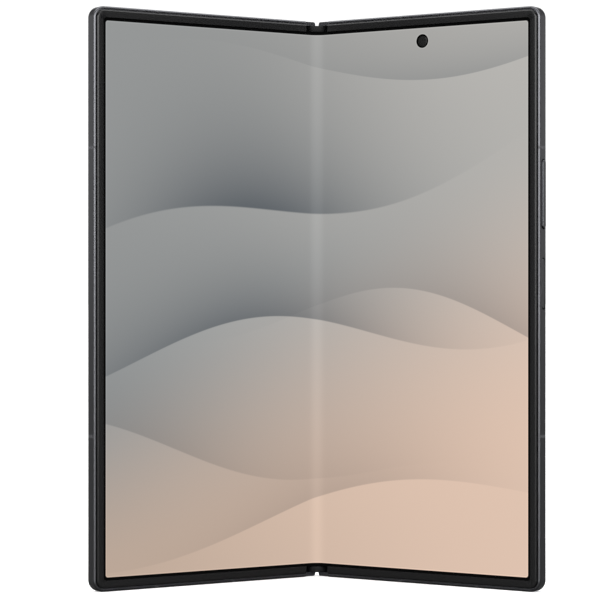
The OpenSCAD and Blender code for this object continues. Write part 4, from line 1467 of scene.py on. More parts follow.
    def build_frame(self) -> None:
        """Builds the frame from rim, middle plate and hinge rail."""
        b = self.shop.body
        rim = swept_rim(b, rim_section(b, b.rim_w), b.fold_gap)
        step = b.rim_w - self.overlap
        top = b.height - step
        parts = [
            block((self.mid_start, b.seat, step), (b.half_w - step, b.mid_back, top)),
            block((self.mid_start, b.seat, step), (b.rail_in, b.rail_front + 0.01, top)),
            block((b.fold_gap, b.rail_front, step), (b.rail_in, b.half_t, top)),
            block(
                (b.fold_gap, b.glass_y - self.overlap, b.glass_edge - 0.2),
                (b.rail_in, b.half_t, b.height - b.glass_edge + 0.2),
            ),
        ]
        whole = boolean(rim, parts, "UNION")
        whole = boolean(whole, self.cuts())
        whole = boolean(whole, self.own_cuts())
        name, node = f"{self.node}_frame_shell", f"{self.node}_frame"
        piece(whole, name, self.place, self.shop.finishes.metal, [node])

    def build_bands(self) -> None:
        """Builds the antenna bands, flush with the rim."""
        b = self.shop.body
        rim = swept_rim(b, rim_section(b, self.band_deep), b.fold_gap)
        nodes = [f"{self.node}_antenna_bands"]
        for low, high in self.band_boxes(-0.005):
            low.y, high.y = -1, b.half_t + 1
            strip = boolean(rim.copy(), [block(low, high)], "INTERSECT")
            name = f"{self.node}_antenna_band_{round(low.x)}_{round(low.z) if low.z > 0 else 0}"
            piece(strip, name, self.place, self.shop.finishes.band, nodes)
        rim.free()

    def build_bezel(self) -> None:
        """Builds the raised bezel round the screen."""
        b = self.shop.body
        r = self.bezel_round
        ledge, ledge_in = self.bezel_ledge
        section = [(self.bezel_out, b.seat)] + arc(self.bezel_out + r, r, r, 180, 270, 10)
        section += [(b.bezel_in - 0.1, 0.0), (b.bezel_in - 0.03, 0.03), (b.bezel_in, 0.1)]
        section += [(b.bezel_in, ledge), (ledge_in, ledge), (ledge_in, b.seat)]
        bezel = swept_rim(b, section, b.bezel_end)
        self.ease_inner_edge(bezel)
        softened(bezel, 0.12, 3, where=lambda p: p.x < b.bezel_end + 0.01 and p.y < 0.3)
        name, node = f"{self.node}_bezel_ring", f"{self.node}_bezel"
        piece(bezel, name, self.place, self.shop.finishes.plastic, [node])

    def ease_inner_edge(self, bezel: BMesh) -> None:
        """Widens the turns of the bezel's inner edge, and narrows its side.

        Args:
            bezel: the swept bezel, changed in place.
        """
        b = self.shop.body
        grow = self.inner_turn - (b.corner - b.bezel_in)
        for z, up in ((b.corner, 1), (b.height - b.corner, -1)):
            centre = Vector((b.half_w - b.corner, 0, z))
            for vert in bezel.verts:
                away = (vert.co - centre) * Vector((1, 0, 1))
                if 0 < away.length < b.corner - self.edge_zone:
                    vert.co += grow * (Vector((-1, 0, up)) + away.normalized())
        turn_x = b.half_w - b.corner - grow
        for vert in bezel.verts:
            inset = min(b.half_w - vert.co.x, vert.co.z, b.height - vert.co.z)
            if vert.co.x > turn_x and inset > self.edge_zone:
                vert.co.x += b.side_gain * min((vert.co.x - turn_x) / self.inner_turn, 1)

    def build(self) -> None:
        """Builds the shell's pieces."""
        self.build_frame()
        self.build_bands()
        self.build_bezel()


def camera_places(shop: Shop) -> list[Point]:
    """Places of the three rear cameras.

    Args:
        shop: sizes and finishes.

    Returns:
        Their places across and along the half, from the lowest up.
    """
    low, high = shop.half(Side.RIGHT).box("camera_plate")
    r = (high.x - low.x) / 2
    x = middle(low, high)[0]
    first, last = low.z + r, high.z - r
    return [(x, first), (x, (first + last) / 2), (x, last)]


@dataclass
class InnerScreen(Part):
    """Folding screen in two halves that meet at the fold, and the camera behind it.

    Attributes:
        fold_half: half width of the bending strip when flat.
        fold_r: radius of the face in the fold.
        strip_t: thickness of the strip.
        strip_edge: distance of the strip's ends from the phone's ends.
        edge: distance of the screen's edge from the outer face.
        border: width of the black border beside the bezel, at the side and the ends.
        punch_r: radius of the camera's hole.
        bend_steps: stretches of the sheet over the bend.
    """

    fold_half: float = 4.0
    fold_r: float = 4.0
    strip_t: float = 0.5
    strip_edge: float = 2.9
    edge: float = 2.05
    border: Point = (0.77, 0.85)
    punch_r: float = 1.9
    bend_steps: int = 22

    @property
    def shortening(self) -> float:
        """How much shorter the strip is than its flat coordinates tell."""
        return self.bend_start - self.fold_r * self.shop.body.tilt

    @property
    def bend_start(self) -> float:
        """Flat coordinate at which the face starts to curve."""
        b = self.shop.body
        rise = self.fold_r + b.axis_depth - b.screen_drop
        return b.axis_x + (rise * math.sin(b.tilt) - b.axis_x) / math.cos(b.tilt)

    def sheet(self) -> BMesh:
        """The flat sheet of one half, from the fold to its hidden edge."""
        b = self.shop.body
        r = b.corner - self.edge
        cx = b.half_w - b.corner
        top = b.height
        outline = [(self.shortening, self.strip_edge), (self.fold_half, self.strip_edge)]
        outline += [(self.fold_half, self.edge)]
        outline += arc(cx, b.corner, r, -90, 0)
        outline += arc(cx, top - b.corner, r, 0, 90)
        outline += [(self.fold_half, top - self.edge), (self.fold_half, top - self.strip_edge)]
        outline += [(self.shortening, top - self.strip_edge)]
        return prism(outline, b.screen_drop, b.seat, Along.Y)

    def punched(self, bm: BMesh) -> BMesh:
        """The sheet with the hole for the camera."""
        x, z = self.hole()
        return boolean(bm, [bore(self.punch_r, x, z, -1, 3, 72)])

    def hole(self) -> Point:
        """Middle of the camera hole."""
        x, _, z = middle(*self.place.box("inner_camera"))
        return x, z

    def bent(self, bm: BMesh, side: Side) -> BMesh:
        """Lays the picture's coordinates on the sheet and bends it into the fold.

        Args:
            bm: the flat sheet.
            side: which half it is for.

        Returns:
            The same mesh.
        """
        b = self.shop.body
        start, stop = self.shortening, self.fold_half + 0.3
        for i in range(1, self.bend_steps + 1):
            x = start + (stop - start) * i / self.bend_steps
            geom = [*bm.verts, *bm.edges, *bm.faces]
            bmesh.ops.bisect_plane(bm, geom=geom, plane_co=(x, 0, 0), plane_no=(1, 0, 0))
        layer = bm.loops.layers.uv.new("picture")
        for face in bm.faces:
            for loop in face.loops:
                co = loop.vert.co
                across = side.value * (co.x - self.shortening) / b.height
                loop[layer].uv = (0.5 + across, co.z / b.height)
        for vert in bm.verts:
            co = vert.co
            if co.x < self.fold_half + 1e-4 and co.y > b.screen_drop + self.strip_t:
                co.y = b.screen_drop + self.strip_t
            if co.x < self.bend_start:
                turn = (self.bend_start - co.x) / self.fold_r
                reach = self.fold_r + co.y - b.screen_drop
                co.x = self.bend_start - reach * math.sin(turn)
                co.y = b.screen_drop - self.fold_r + reach * math.cos(turn)
        return bm

    def fold_line(self, place: Placing) -> tuple[Vector, Vector]:
        """Where the strip's bend starts and ends on the face.

        Args:
            place: a half's placing.

        Returns:
            Both points in metres.
        """
        b = self.shop.body
        turn = b.tilt
        x = self.bend_start - self.fold_r * math.sin(turn)
        y = b.screen_drop - self.fold_r + self.fold_r * math.cos(turn)
        start = place.matrix @ Vector((x, y, 0))
        end = place.matrix @ Vector((self.fold_half, b.screen_drop, 0))
        return start, end

    def build_camera(self) -> None:
        """Builds the inner camera behind its hole."""
        b = self.shop.body
        x, z = self.hole()
        r = self.punch_r - 0.05
        back = self.place.box("inner_camera")[1].y
        face = b.screen_drop + 0.03
        ring = [(0, face + 0.35), (1.45, face + 0.3), (1.49, face + 0.06), (1.53, face)]
        ring += [(r - 0.05, face), (r, face + 0.05), (r, 1.55), (r + 0.55, 1.55)]
        ring += [(r + 0.65, 1.65), (r + 0.65, back - 0.05), (r + 0.6, back), (0, back)]
        dome = [(0, face + 0.1), (0.5, face + 0.102), (1.0, face + 0.11), (1.42, face + 0.125)]
        dome += [(1.47, face + 0.14), (1.47, face + 0.26), (0, face + 0.26)]
        f = self.shop.finishes
        rows = (("ring", ring, f.ring, "black_plastic"), ("lens", dome, f.camera, "lens_glass"))
        for word, profile, finish, slot in rows:
            made = lathe(profile, x, z, 64)
            piece(made, f"inner_camera_{word}", self.place, finish, ["inner_camera"])

    def build(self) -> None:
        """Builds both halves of the screen and the camera."""
        b = self.shop.body
        x, z = self.hole()
        picture = Picture(
            "lit_screen",
            height=b.height,
            half_width=b.half_w - self.shortening - b.bezel_in + b.side_gain - self.border[0],
            half_height=b.height / 2 - b.bezel_in - self.border[1],
            hole=(x - self.shortening, z - b.height / 2),
            hole_r=self.punch_r,
        )
        for side in Side:
            place = self.shop.half(side)
            bm = self.sheet()
            if side is Side.RIGHT:
                bm = self.punched(bm)
            made = piece(
                self.bent(bm, side),
                f"inner_screen_{side.word}",
                place,
                picture,
                [f"inner_display_{side.word}", "inner_display_fold"],
                ride=False,
            )
            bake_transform(made)
        self.build_camera()


@dataclass
class Key(Part):
    """A key in the right side, with its flange inside.

    Attributes:
        node: its CAD node, which is also its body.
        title: the piece's name.
        soft: width of the round along the key's face.
        plate_t: thickness of the flange.
    """

    node: str
    title: str
    soft: float = 0.16
    plate_t: float = 0.3

    def build(self) -> None:
        """Builds the key with a rounded face."""
        low, high = box = self.place.box(self.node)
        stem = key_bar(self.shop.body, box, (0, 0), (low.x + 0.2, high.x), 14)
        softened(stem, self.soft, 4, where=lambda p: p.x > high.x - 0.01)
        plate = block(low, (low.x + self.plate_t, high.y, high.z))
        softened(plate, 0.06, 2)
        whole, seat = joined([stem, plate]), self.place.riding(self.node)
        piece(whole, self.title, seat, self.shop.finishes.metal, [self.node])


@dataclass
class Port(Part):
    """Charging port: a steel shell with a tongue that carries contacts.

    ``pad_ends`` are a contact's distances from the tongue's ends, and ``pad_depths`` how
    far it lies in the tongue and stands out of it.
    """

    wall: float = 0.11
    back_t: float = 0.5
    contacts: int = 12
    pitch: float = 0.5
    pad_half: float = 0.12
    pad_ends: Point = (0.35, 0.9)
    pad_depths: Point = (0.02, 0.015)

    def build(self) -> None:
        """Builds the shell, the tongue and its contacts."""
        place, f = self.place, self.shop.finishes
        low, high = box = place.box("usb_c_port")
        x = middle(low, high)[0]
        outer = slot_bar(box, 0, low.z, high.z)
        inner = slot_bar(box, -2 * self.wall, low.z - 1, high.z - self.back_t)
        shell = softened(boolean(outer, [inner]), 0.03, 2, where=lambda p: p.z < low.z + 0.01)
        piece(shell, "port_shell", place, f.steel, ["usb_c_port"])
        low, high = place.box("usb_c_tongue")
        tongue = softened(block(low, high), 0.14, 3, where=lambda p: p.z < high.z - 0.01)
        piece(tongue, "port_tongue", place, f.moulded, ["usb_c_tongue"])
        bottom, top = low.z + self.pad_ends[0], high.z - self.pad_ends[1]
        pads = []
        for i in range(self.contacts):
            pad_x = x + (i - (self.contacts - 1) / 2) * self.pitch
            left, right = pad_x - self.pad_half, pad_x + self.pad_half
            for face, step in ((low.y, -1), (high.y, 1)):
                ends = (face - step * self.pad_depths[0], face + step * self.pad_depths[1])
                pads.append(block((left, min(ends), bottom), (right, max(ends), top)))
        piece(joined(pads), "port_contacts", place, f.gold, ["usb_c_tongue"])


@dataclass
class RearCameras(Part):
    """Back glass with the raised plate, three camera rings, their lenses and the flash."""

    edge_round: float = 0.3
    plate_round: float = 0.42
    lens_r: float = 5.9
    ring_r: float = 7.4
    ring_gap: float = 0.5
    flash_r: float = 1.9
    diode_r: float = 1.2

    def ring_holes(self) -> list[BMesh]:
        """Cutters for the holes under the rings."""
        return [bore(self.lens_r + self.ring_gap, x, z) for x, z in camera_places(self.shop)]

    def build_glass(self) -> None:
        """Builds the back glass with holes for the rings and the flash."""
        b = self.shop.body
        low, high = self.place.box("back_glass")
        glass = sheet(b, low.x, b.half_w - high.x, low.y, high.y)
        softened(glass, self.edge_round, 5, where=lambda p: p.y > high.y - 0.01)
        x, z = self.flash()
        glass = boolean(glass, [*self.ring_holes(), bore(self.flash_r + 0.05, x, z, steps=48)])
        frosted = self.shop.finishes.frosted
        piece(glass, "back_cover_glass", self.place, frosted, ["back_glass"])

    def flash(self) -> Point:
        """Middle of the flash."""
        x, _, z = middle(*self.place.box("flash_window"))
        return x, z

    def build_plate(self) -> None:
        """Builds the raised plate under the rings."""
        low, high = self.place.box("camera_plate")
        x, _, z = middle(low, high)
        outline = slot_outline(high.z - low.z, high.x - low.x, 32)
        plate = prism([(w + x, v + z) for v, w in outline], low.y, high.y, Along.Y)
        softened(plate, self.plate_round, 6, where=lambda p: p.y > high.y - 0.01)
        plate = boolean(plate, self.ring_holes())
        metal = self.shop.finishes.metal
        piece(plate, "camera_island", self.place, metal, ["camera_plate"])

    def build_camera(self, index: int, x: float, z: float) -> None:
        """Builds one camera: ring, window, barrel and lens.

        Args:
            index: its number from the lowest up.
            x: place across the half.
            z: place along the half.
        """
        back = self.place.box("camera_rings")[1].y
        top = self.place.box("camera_plate")[1].y
        floor = self.shop.body.glass_y + 0.05
        r, inner = self.ring_r, self.lens_r
        neck = inner + 0.45
        ring = [(neck, floor), (neck, top), (r - 0.08, top), (r, top + 0.08)]
        ring += [(r, back - 0.3), (r - 0.09, back - 0.09), (r - 0.3, back)]
        ring += [(inner + 0.45, back), (inner + 0.12, back - 0.06), (inner, back - 0.2)]
        ring += [(inner, back - 0.6), (inner - 0.6, back - 0.6), (inner - 0.6, floor)]
        f = self.shop.finishes
        wide = inner - 0.03
        window = [(0, back - 0.6), (wide, back - 0.6), (wide, back - 0.21)]
        window += [(wide - 0.06, back - 0.15), (0, back - 0.15)]
        barrel_r = inner - 1.6
        seat = back - 0.65
        barrel = [(0, 3.0), (barrel_r, 3.0), (barrel_r, seat), (barrel_r - 0.25, seat)]
        barrel += [(barrel_r - 0.3, seat - 0.05), (barrel_r - 0.35, seat - 0.5)]
        barrel += [(barrel_r - 0.9, seat - 0.5), (barrel_r - 1.0, seat - 0.55)]
        barrel += [(barrel_r - 1.05, seat - 0.9), (barrel_r - 1.7, seat - 0.95)]
        barrel += [(barrel_r - 1.8, seat - 1.3), (0, seat - 1.3)]
        lens_r = barrel_r - 1.02
        lens = [(0, seat - 1.2)] + [
            (lens_r * math.sin(a), seat - 1.75 + 1.1 * math.cos(a))
            for a in (math.radians(d) for d in range(62, -1, -6))
        ]
        lens[-1] = (0, lens[-1][1])
        baffle = [(barrel_r + 0.05, seat - 0.3), (inner - 0.65, seat - 0.3)]
        baffle += [(inner - 0.65, seat - 0.2), (barrel_r + 0.05, seat - 0.2)]
        rows = (
            ("ring", ring, f.hinge, "camera_rings", "frame_metal"),
            ("window", window, f.clear, "camera_windows", "lens_glass"),
            ("barrel", barrel, f.moulded, "camera_modules", "black_plastic"),
            ("lens", lens, f.coated, "camera_modules", "lens_glass"),
            ("baffle", baffle, f.black, "camera_modules", "black_plastic"),
        )
        for word, profile, finish, node, slot in rows:
            name = f"rear_camera_{index}_{word}"
            piece(lathe(profile, x, z, 72), name, self.place, finish, [node])
        half = self.shop.body.module_side / 2
        high = (x + half, self.shop.body.glass_y - 0.1, z + half)
        housing = softened(block((x - half, 1.55, z - half), high), 0.3, 2)
        name = f"rear_camera_{index}_housing"
        piece(housing, name, self.place, f.steel, ["camera_modules"])

    def build_flash(self) -> None:
        """Builds the flash: a diode under a window with rings."""
        x, z = self.flash()
        low, high = self.place.box("flash_window")
        r = self.flash_r
        window = [(0, high.y - 0.25), (r, high.y - 0.25), (r, high.y - 0.04), (r - 0.05, high.y)]
        for step in range(3):
            edge = r - 0.35 - 0.35 * step
            window += [(edge, high.y), (edge - 0.1, high.y - 0.05)]
        window += [(0, high.y)]
        base = [(0, low.y), (r, low.y), (r, high.y - 0.32), (0, high.y - 0.32)]
        top = high.y - 0.27
        r = self.diode_r
        diode = [(0, top - 0.06), (r, top - 0.06), (r, top - 0.02), (r - 0.1, top), (0, top)]
        f = self.shop.finishes
        rows = (
            ("window", window, f.clear, "lens_glass"),
            ("base", base, f.plastic, "black_plastic"),
            ("diode", diode, f.light, "lens_glass"),
        )
        for word, profile, finish, slot in rows:
            made = lathe(profile, x, z)
            piece(made, f"flash_{word}", self.place, finish, ["flash_window"])

    def build(self) -> None:
        """Builds the back with its cameras and flash."""
        self.build_glass()
        self.build_plate()
        for index, (x, z) in enumerate(camera_places(self.shop)):
            self.build_camera(index, x, z)
        self.build_flash()


@dataclass
class CoverScreen(Part):
    """Outer screen of the left half: clear glass over a dark panel and a camera."""

    side = Side.LEFT
    edge_round: float = 0.3
    print_t: float = 0.04
    print_w: float = 1.3
    hole_r: float = 1.7
    barrel_r: float = 1.65

    def hole(self) -> BMesh:
        """Cutter for the hole over the camera."""
        x, _, z = middle(*self.place.box("cover_camera"))
        return bore(self.hole_r, x, z)

    def build_glass(self) -> None:
        """Builds the glass and its black print, with a hole in the print."""
        b, f = self.shop.body, self.shop.finishes
        low, high = self.place.box("cover_glass")
        edge = b.half_w - high.x
        glass = sheet(b, low.x, edge, low.y + self.print_t, high.y)
        softened(glass, self.edge_round, 5, where=lambda p: p.y > high.y - 0.01)
        piece(glass, "front_cover_glass", self.place, f.clear, ["cover_glass"])
        border = sheet(b, low.x, edge, low.y, low.y + 0.8 * self.print_t)
        inner = edge + self.print_w
        window = sheet(b, low.x + self.print_w, inner, low.y - 1, high.y + 1)
        border = boolean(boolean(border, [window]), [self.hole()])
        piece(border, "cover_print", self.place, f.ring, ["cover_glass"])

    def build_panel(self) -> None:
        """Builds the panel, cut out round the camera and the card tray."""
        b, f = self.shop.body, self.shop.finishes
        low, high = self.place.box("cover_display_panel")
        panel = sheet(b, low.x, b.half_w - high.x, low.y, high.y)
        first, last = self.place.box("card_tray")
        tool = block((first.x - 0.3, 0, first.z - 1.2), (last.x + 0.3, last.y + 0.3, b.height))
        panel = boolean(panel, [tool, self.hole()])
        nodes = ["cover_display_panel"]
        piece(panel, "cover_panel", self.place, f.black, nodes)

    def build_camera(self) -> None:
        """Builds the camera's barrel and lens."""
        f = self.shop.finishes
        low, high = self.place.box("cover_camera")
        x, _, z = middle(low, high)
        back = high.y
        neck = self.place.box("cover_display_panel")[0].y - 0.1
        r = self.barrel_r
        barrel = [(0, 1.55), (2.25, 1.55), (2.3, 1.6), (2.3, neck), (r, neck)]
        barrel += [(r, back - 0.04), (r - 0.04, back), (r - 0.35, back), (r - 0.4, back - 0.1)]
        barrel += [(0, back - 0.12)]
        lens = [(0, back - 0.12), (r - 0.45, back - 0.12), (r - 0.6, back - 0.06), (0, back)]
        rows = (("barrel", barrel, f.moulded, "black_plastic"), ("lens", lens, f.coated, "lens_glass"))
        for word, profile, finish, slot in rows:
            name = f"cover_camera_{word}"
            piece(lathe(profile, x, z, 56), name, self.place, finish, ["cover_camera"])

    def build(self) -> None:
        """Builds the glass, the panel and the camera."""
        self.build_glass()
        self.build_panel()
        self.build_camera()


@dataclass
class CardTray(Part):
    """Card tray in the top of the left half."""

    side = Side.LEFT
    pin_r: float = 0.45
    pin_in: float = 1.4
    thick: float = 0.8
    bar: float = 1.4
    end_bar: float = 1.2

    def build(self) -> None:
        """Builds the tray's face with its pin hole, and the frame behind it."""
        b = self.shop.body
        low, high = box = self.place.box("card_tray")
        y = middle(low, high)[1]
        seat = b.height - b.rim_w
        face = slot_bar(box, 0, seat, high.z, 14)
        softened(face, 0.08, 3, where=lambda p: p.z > high.z - 0.01)
        pin = arc(low.x + self.pin_in, y, self.pin_r, 0, 345, 23)
        face = boolean(face, [prism(pin, b.height - 1.7, b.height + 1)])
        half = self.thick / 2
        plate = block((low.x + 0.2, y - half, low.z), (high.x - 0.2, y + half, seat - 0.005))
        softened(plate, 0.5, 3, where=lambda p: p.z < low.z + 0.01 and abs(p.y - y) < 0.01)
        first = (low.x + self.bar, 0, low.z + self.end_bar)
        window = block(first, (high.x - self.bar, 4, seat - self.end_bar))
        whole = joined([face, boolean(plate, [window])])
        metal, on_tray = self.shop.finishes.metal, self.place.riding("card_tray")
        piece(whole, "card_tray_drawer", on_tray, metal, ["card_tray"])


@dataclass
class Spine(Part):
    """Spine of the hinge: its cover at the back and a cap at each end.

    ``windows`` are the heights of the cover's openings for the lower arms and for the
    ribbon cable. ``cap_half`` and ``cap_side`` are half the width of a cap's front and the
    depth of its ends, and ``cap_turn`` is where its back's arc starts, in degrees.
    """

    side = None
    wall: float = 0.3
    wall_front: float = 1.35
    windows: tuple[Point, Point] = ((14, 28), (43.5, 58.5))
    window_gap: float = 0.2
    window_back: float = 2.4
    cap_r: float = 2.05
    cap_half: float = 2.85
    cap_side: float = 1.35
    cap_turn: float = 20
    cap_t: float = 1.75
    cap_gap: float = 0.3
    plug_front: float = 1.6

    def back_arcs(self, r: float, turn: float, steps: int) -> list[Point]:
        """The arcs about both fold axes, from an angle in degrees round the back.

        Args:
            r: their radius.
            turn: where the first one starts, and how far the last one stops short of the side.
            steps: stretches of each.

        Returns:
            The points.
        """
        b = self.shop.body
        right = arc(b.axis_x, b.axis_depth, r, turn, 90, steps)
        return right + arc(-b.axis_x, b.axis_depth, r, 90, 180 - turn, steps)

    def stadium(self, r: float, front: float) -> list[Point]:
        """Outline of the spine at a radius, cut off at the front."""
        return self.back_arcs(r, math.degrees(math.asin((front - self.shop.body.axis_depth) / r)), 24)

    def cap_outline(self, front: float) -> list[Point]:
        """Outline of an end cap, whose front bulges.

        Args:
            front: depth of the bulge's top.

        Returns:
            The points.
        """
        fall = self.cap_side - front
        bulge = (self.cap_half**2 + fall**2) / (2 * fall)
        half = math.degrees(math.asin(self.cap_half / bulge))
        face = arc(0, front + bulge, bulge, -90 - half, -90 + half, 28)
        return face + self.back_arcs(self.cap_r, self.cap_turn, 14)

    def build_cover(self) -> None:
        """Builds the cover, open where arms, gears and cable pass."""
        b = self.shop.body
        low, high = self.place.box("spine_cover")
        r = high.x - b.axis_x
        outer = prism(self.stadium(r, self.wall_front), low.z, high.z)
        inside = prism(self.stadium(r - self.wall, 0.2), low.z - 1, high.z + 1)
        arms, cable = self.windows
        gears = self.place.box("gear_base")
        spans = [arms, (b.height - arms[1], b.height - arms[0]), (gears[0].z, gears[1].z), cable]
        gap, back = self.window_gap, self.window_back
        cuts = [block((-9, 0, start - gap), (9, back, end + gap)) for start, end in spans]
        cover = boolean(outer, [inside, *cuts])
        metal = self.shop.finishes.metal
        piece(cover, "hinge_spine_cover", self.place, metal, ["spine_cover"])

    def build_cap(self, node: str, flip: bool) -> None:
        """Builds an end cap with the plug that holds it in the cover.

        Args:
            node: its CAD node.
            flip: whether it's the top one.
        """
        b = self.shop.body
        low, high = self.place.box(node)
        cap_span = (high.z - self.cap_t, high.z) if flip else (low.z, low.z + self.cap_t)
        cap = prism(self.cap_outline(low.y), *cap_span)
        softened(cap, 0.14, 4, where=lambda p: p.y < b.recess)
        plug_r = self.place.box("spine_cover")[1].x - b.axis_x - self.wall - 0.05
        gap = self.cap_gap
        plug_span = (low.z, high.z - gap) if flip else (low.z + gap, high.z)
        plug = prism(self.stadium(plug_r, self.plug_front), *plug_span)
        whole = boolean(cap, [plug], "UNION")
        dull = self.shop.finishes.cap
        piece(whole, f"{node}_moulding", self.place, dull, [node])

    def build(self) -> None:
        """Builds the cover and both caps."""
        self.build_cover()
        for node, flip in (("spine_end_cap_bottom", False), ("spine_end_cap_top", True)):
            self.build_cap(node, flip)


@dataclass
class FlexCable(Part):
    """Ribbon cable across the hinge, in two halves that meet in the spine.

    It is guided round the ends of the plates under the fold, which swing into the
    spine as the phone shuts. ``bottom`` places the curve's second handle, and ``turn_at``
    and ``turn_by`` its third: the distance from the fold, and the step from there at rest.
    From ``flat_from`` to ``end`` the cable lies flat. ``bend_share`` places two points along the
    curve's chord, in shares of it, which are not used.
    """

    side = None
    thick: float = 0.12
    steps: int = 28
    depth: float = 2.05
    bottom: float = 1.9
    turn_at: float = 2.5
    turn_by: Point = (0.2, 1.2)
    flat_from: float = 4.8
    end: float = 9.0
    bend_share: Point = (0.4, 0.9)

    def line(self) -> list[Vector]:
        """Middle line from the spine's centre to the right half, in the spine's millimetres."""
        b = self.shop.body
        cos_t, sin_t = math.cos(b.tilt), math.sin(b.tilt)

        def in_rest(x: float, y: float) -> Vector:
            """A flat point of the right half, as it rests."""
            across, depth = x - b.axis_x, y - b.axis_depth
            return Vector(
                (
                    b.axis_x + across * cos_t + depth * sin_t,
                    b.axis_depth - across * sin_t + depth * cos_t,
                    0,
                )
            )

        low = self.place.box("hinge_flex_cable")[1].y - self.thick / 2
        handles = [
            Vector((0, low, 0)),
            Vector((self.bottom, low, 0)),
            in_rest(self.turn_at, self.depth) + Vector((*self.turn_by, 0)),
            in_rest(self.flat_from, self.depth),
        ]
        points = []
        for i in range(self.steps + 1):
            t = i / self.steps
            points.append(
                handles[0] * (1 - t) ** 3
                + handles[1] * 3 * t * (1 - t) ** 2
                + handles[2] * 3 * t * t * (1 - t)
                + handles[3] * t**3
            )
        return points + [in_rest(self.end, self.depth)]

    def build(self) -> None:
        """Builds both halves."""
        low, high = self.place.box("hinge_flex_cable")
        line = self.line()
        upper, lower = [], []
        for i, point in enumerate(line):
            before, after = line[max(i - 1, 0)], line[min(i + 1, len(line) - 1)]
            along = (after - before).normalized() if i else Vector((1, 0, 0))
            side = Vector((-along.y, along.x, 0)) * self.thick / 2
            upper.append((point + side).to_tuple()[:2])
            lower.append((point - side).to_tuple()[:2])
        for side in Side:
            outline = [(x * side.value, y) for x, y in upper + lower[::-1]]
            made = piece(
                prism(outline, low.z, high.z),
                f"hinge_flex_{side.word}",
                self.place,
                self.shop.finishes.copper,
                ["hinge_flex_cable"],
                ride=False,
            )
            flip = Vector((side.value, 1, 1))
            start, end = (
                self.place.matrix @ (line[0].lerp(line[self.steps], share) * flip)
                for share in self.bend_share
            )
            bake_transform(made)


@dataclass
class Inside(Part):
    """Hinge works, boards and cells, which keep the frame's own shapes."""

    def build(self) -> None:
        """Dresses the nodes that stay in view."""
        f = self.shop.finishes
        hinge = ["hinge_base_top", "hinge_base_bottom", "gear_base"]
        hinge += [f"{s.word}_{w}" for s in Side for w in ("hinge_arms", "wing_plate")]
        dress(f.hinge, *hinge)
        steel = ["gear_shafts", "disc_springs", "vibration_motor", "shield_cans", "card_reader"]
        steel += ["right_magnets", "left_magnets", "right_hinge_screws", "left_hinge_screws"]
        steel += [f"{s.word}_{w}" for s in Side for w in ("sync_arm", "idler_gear")]
        dress(f.steel, *steel)
        dress(f.board, "main_board", "lower_board", "left_board")
        dress(f.copper, "charging_coil", "key_switches")
        dress(f.cell, "right_battery", "left_battery")
        dress(f.moulded, "loudspeaker", "earpiece")


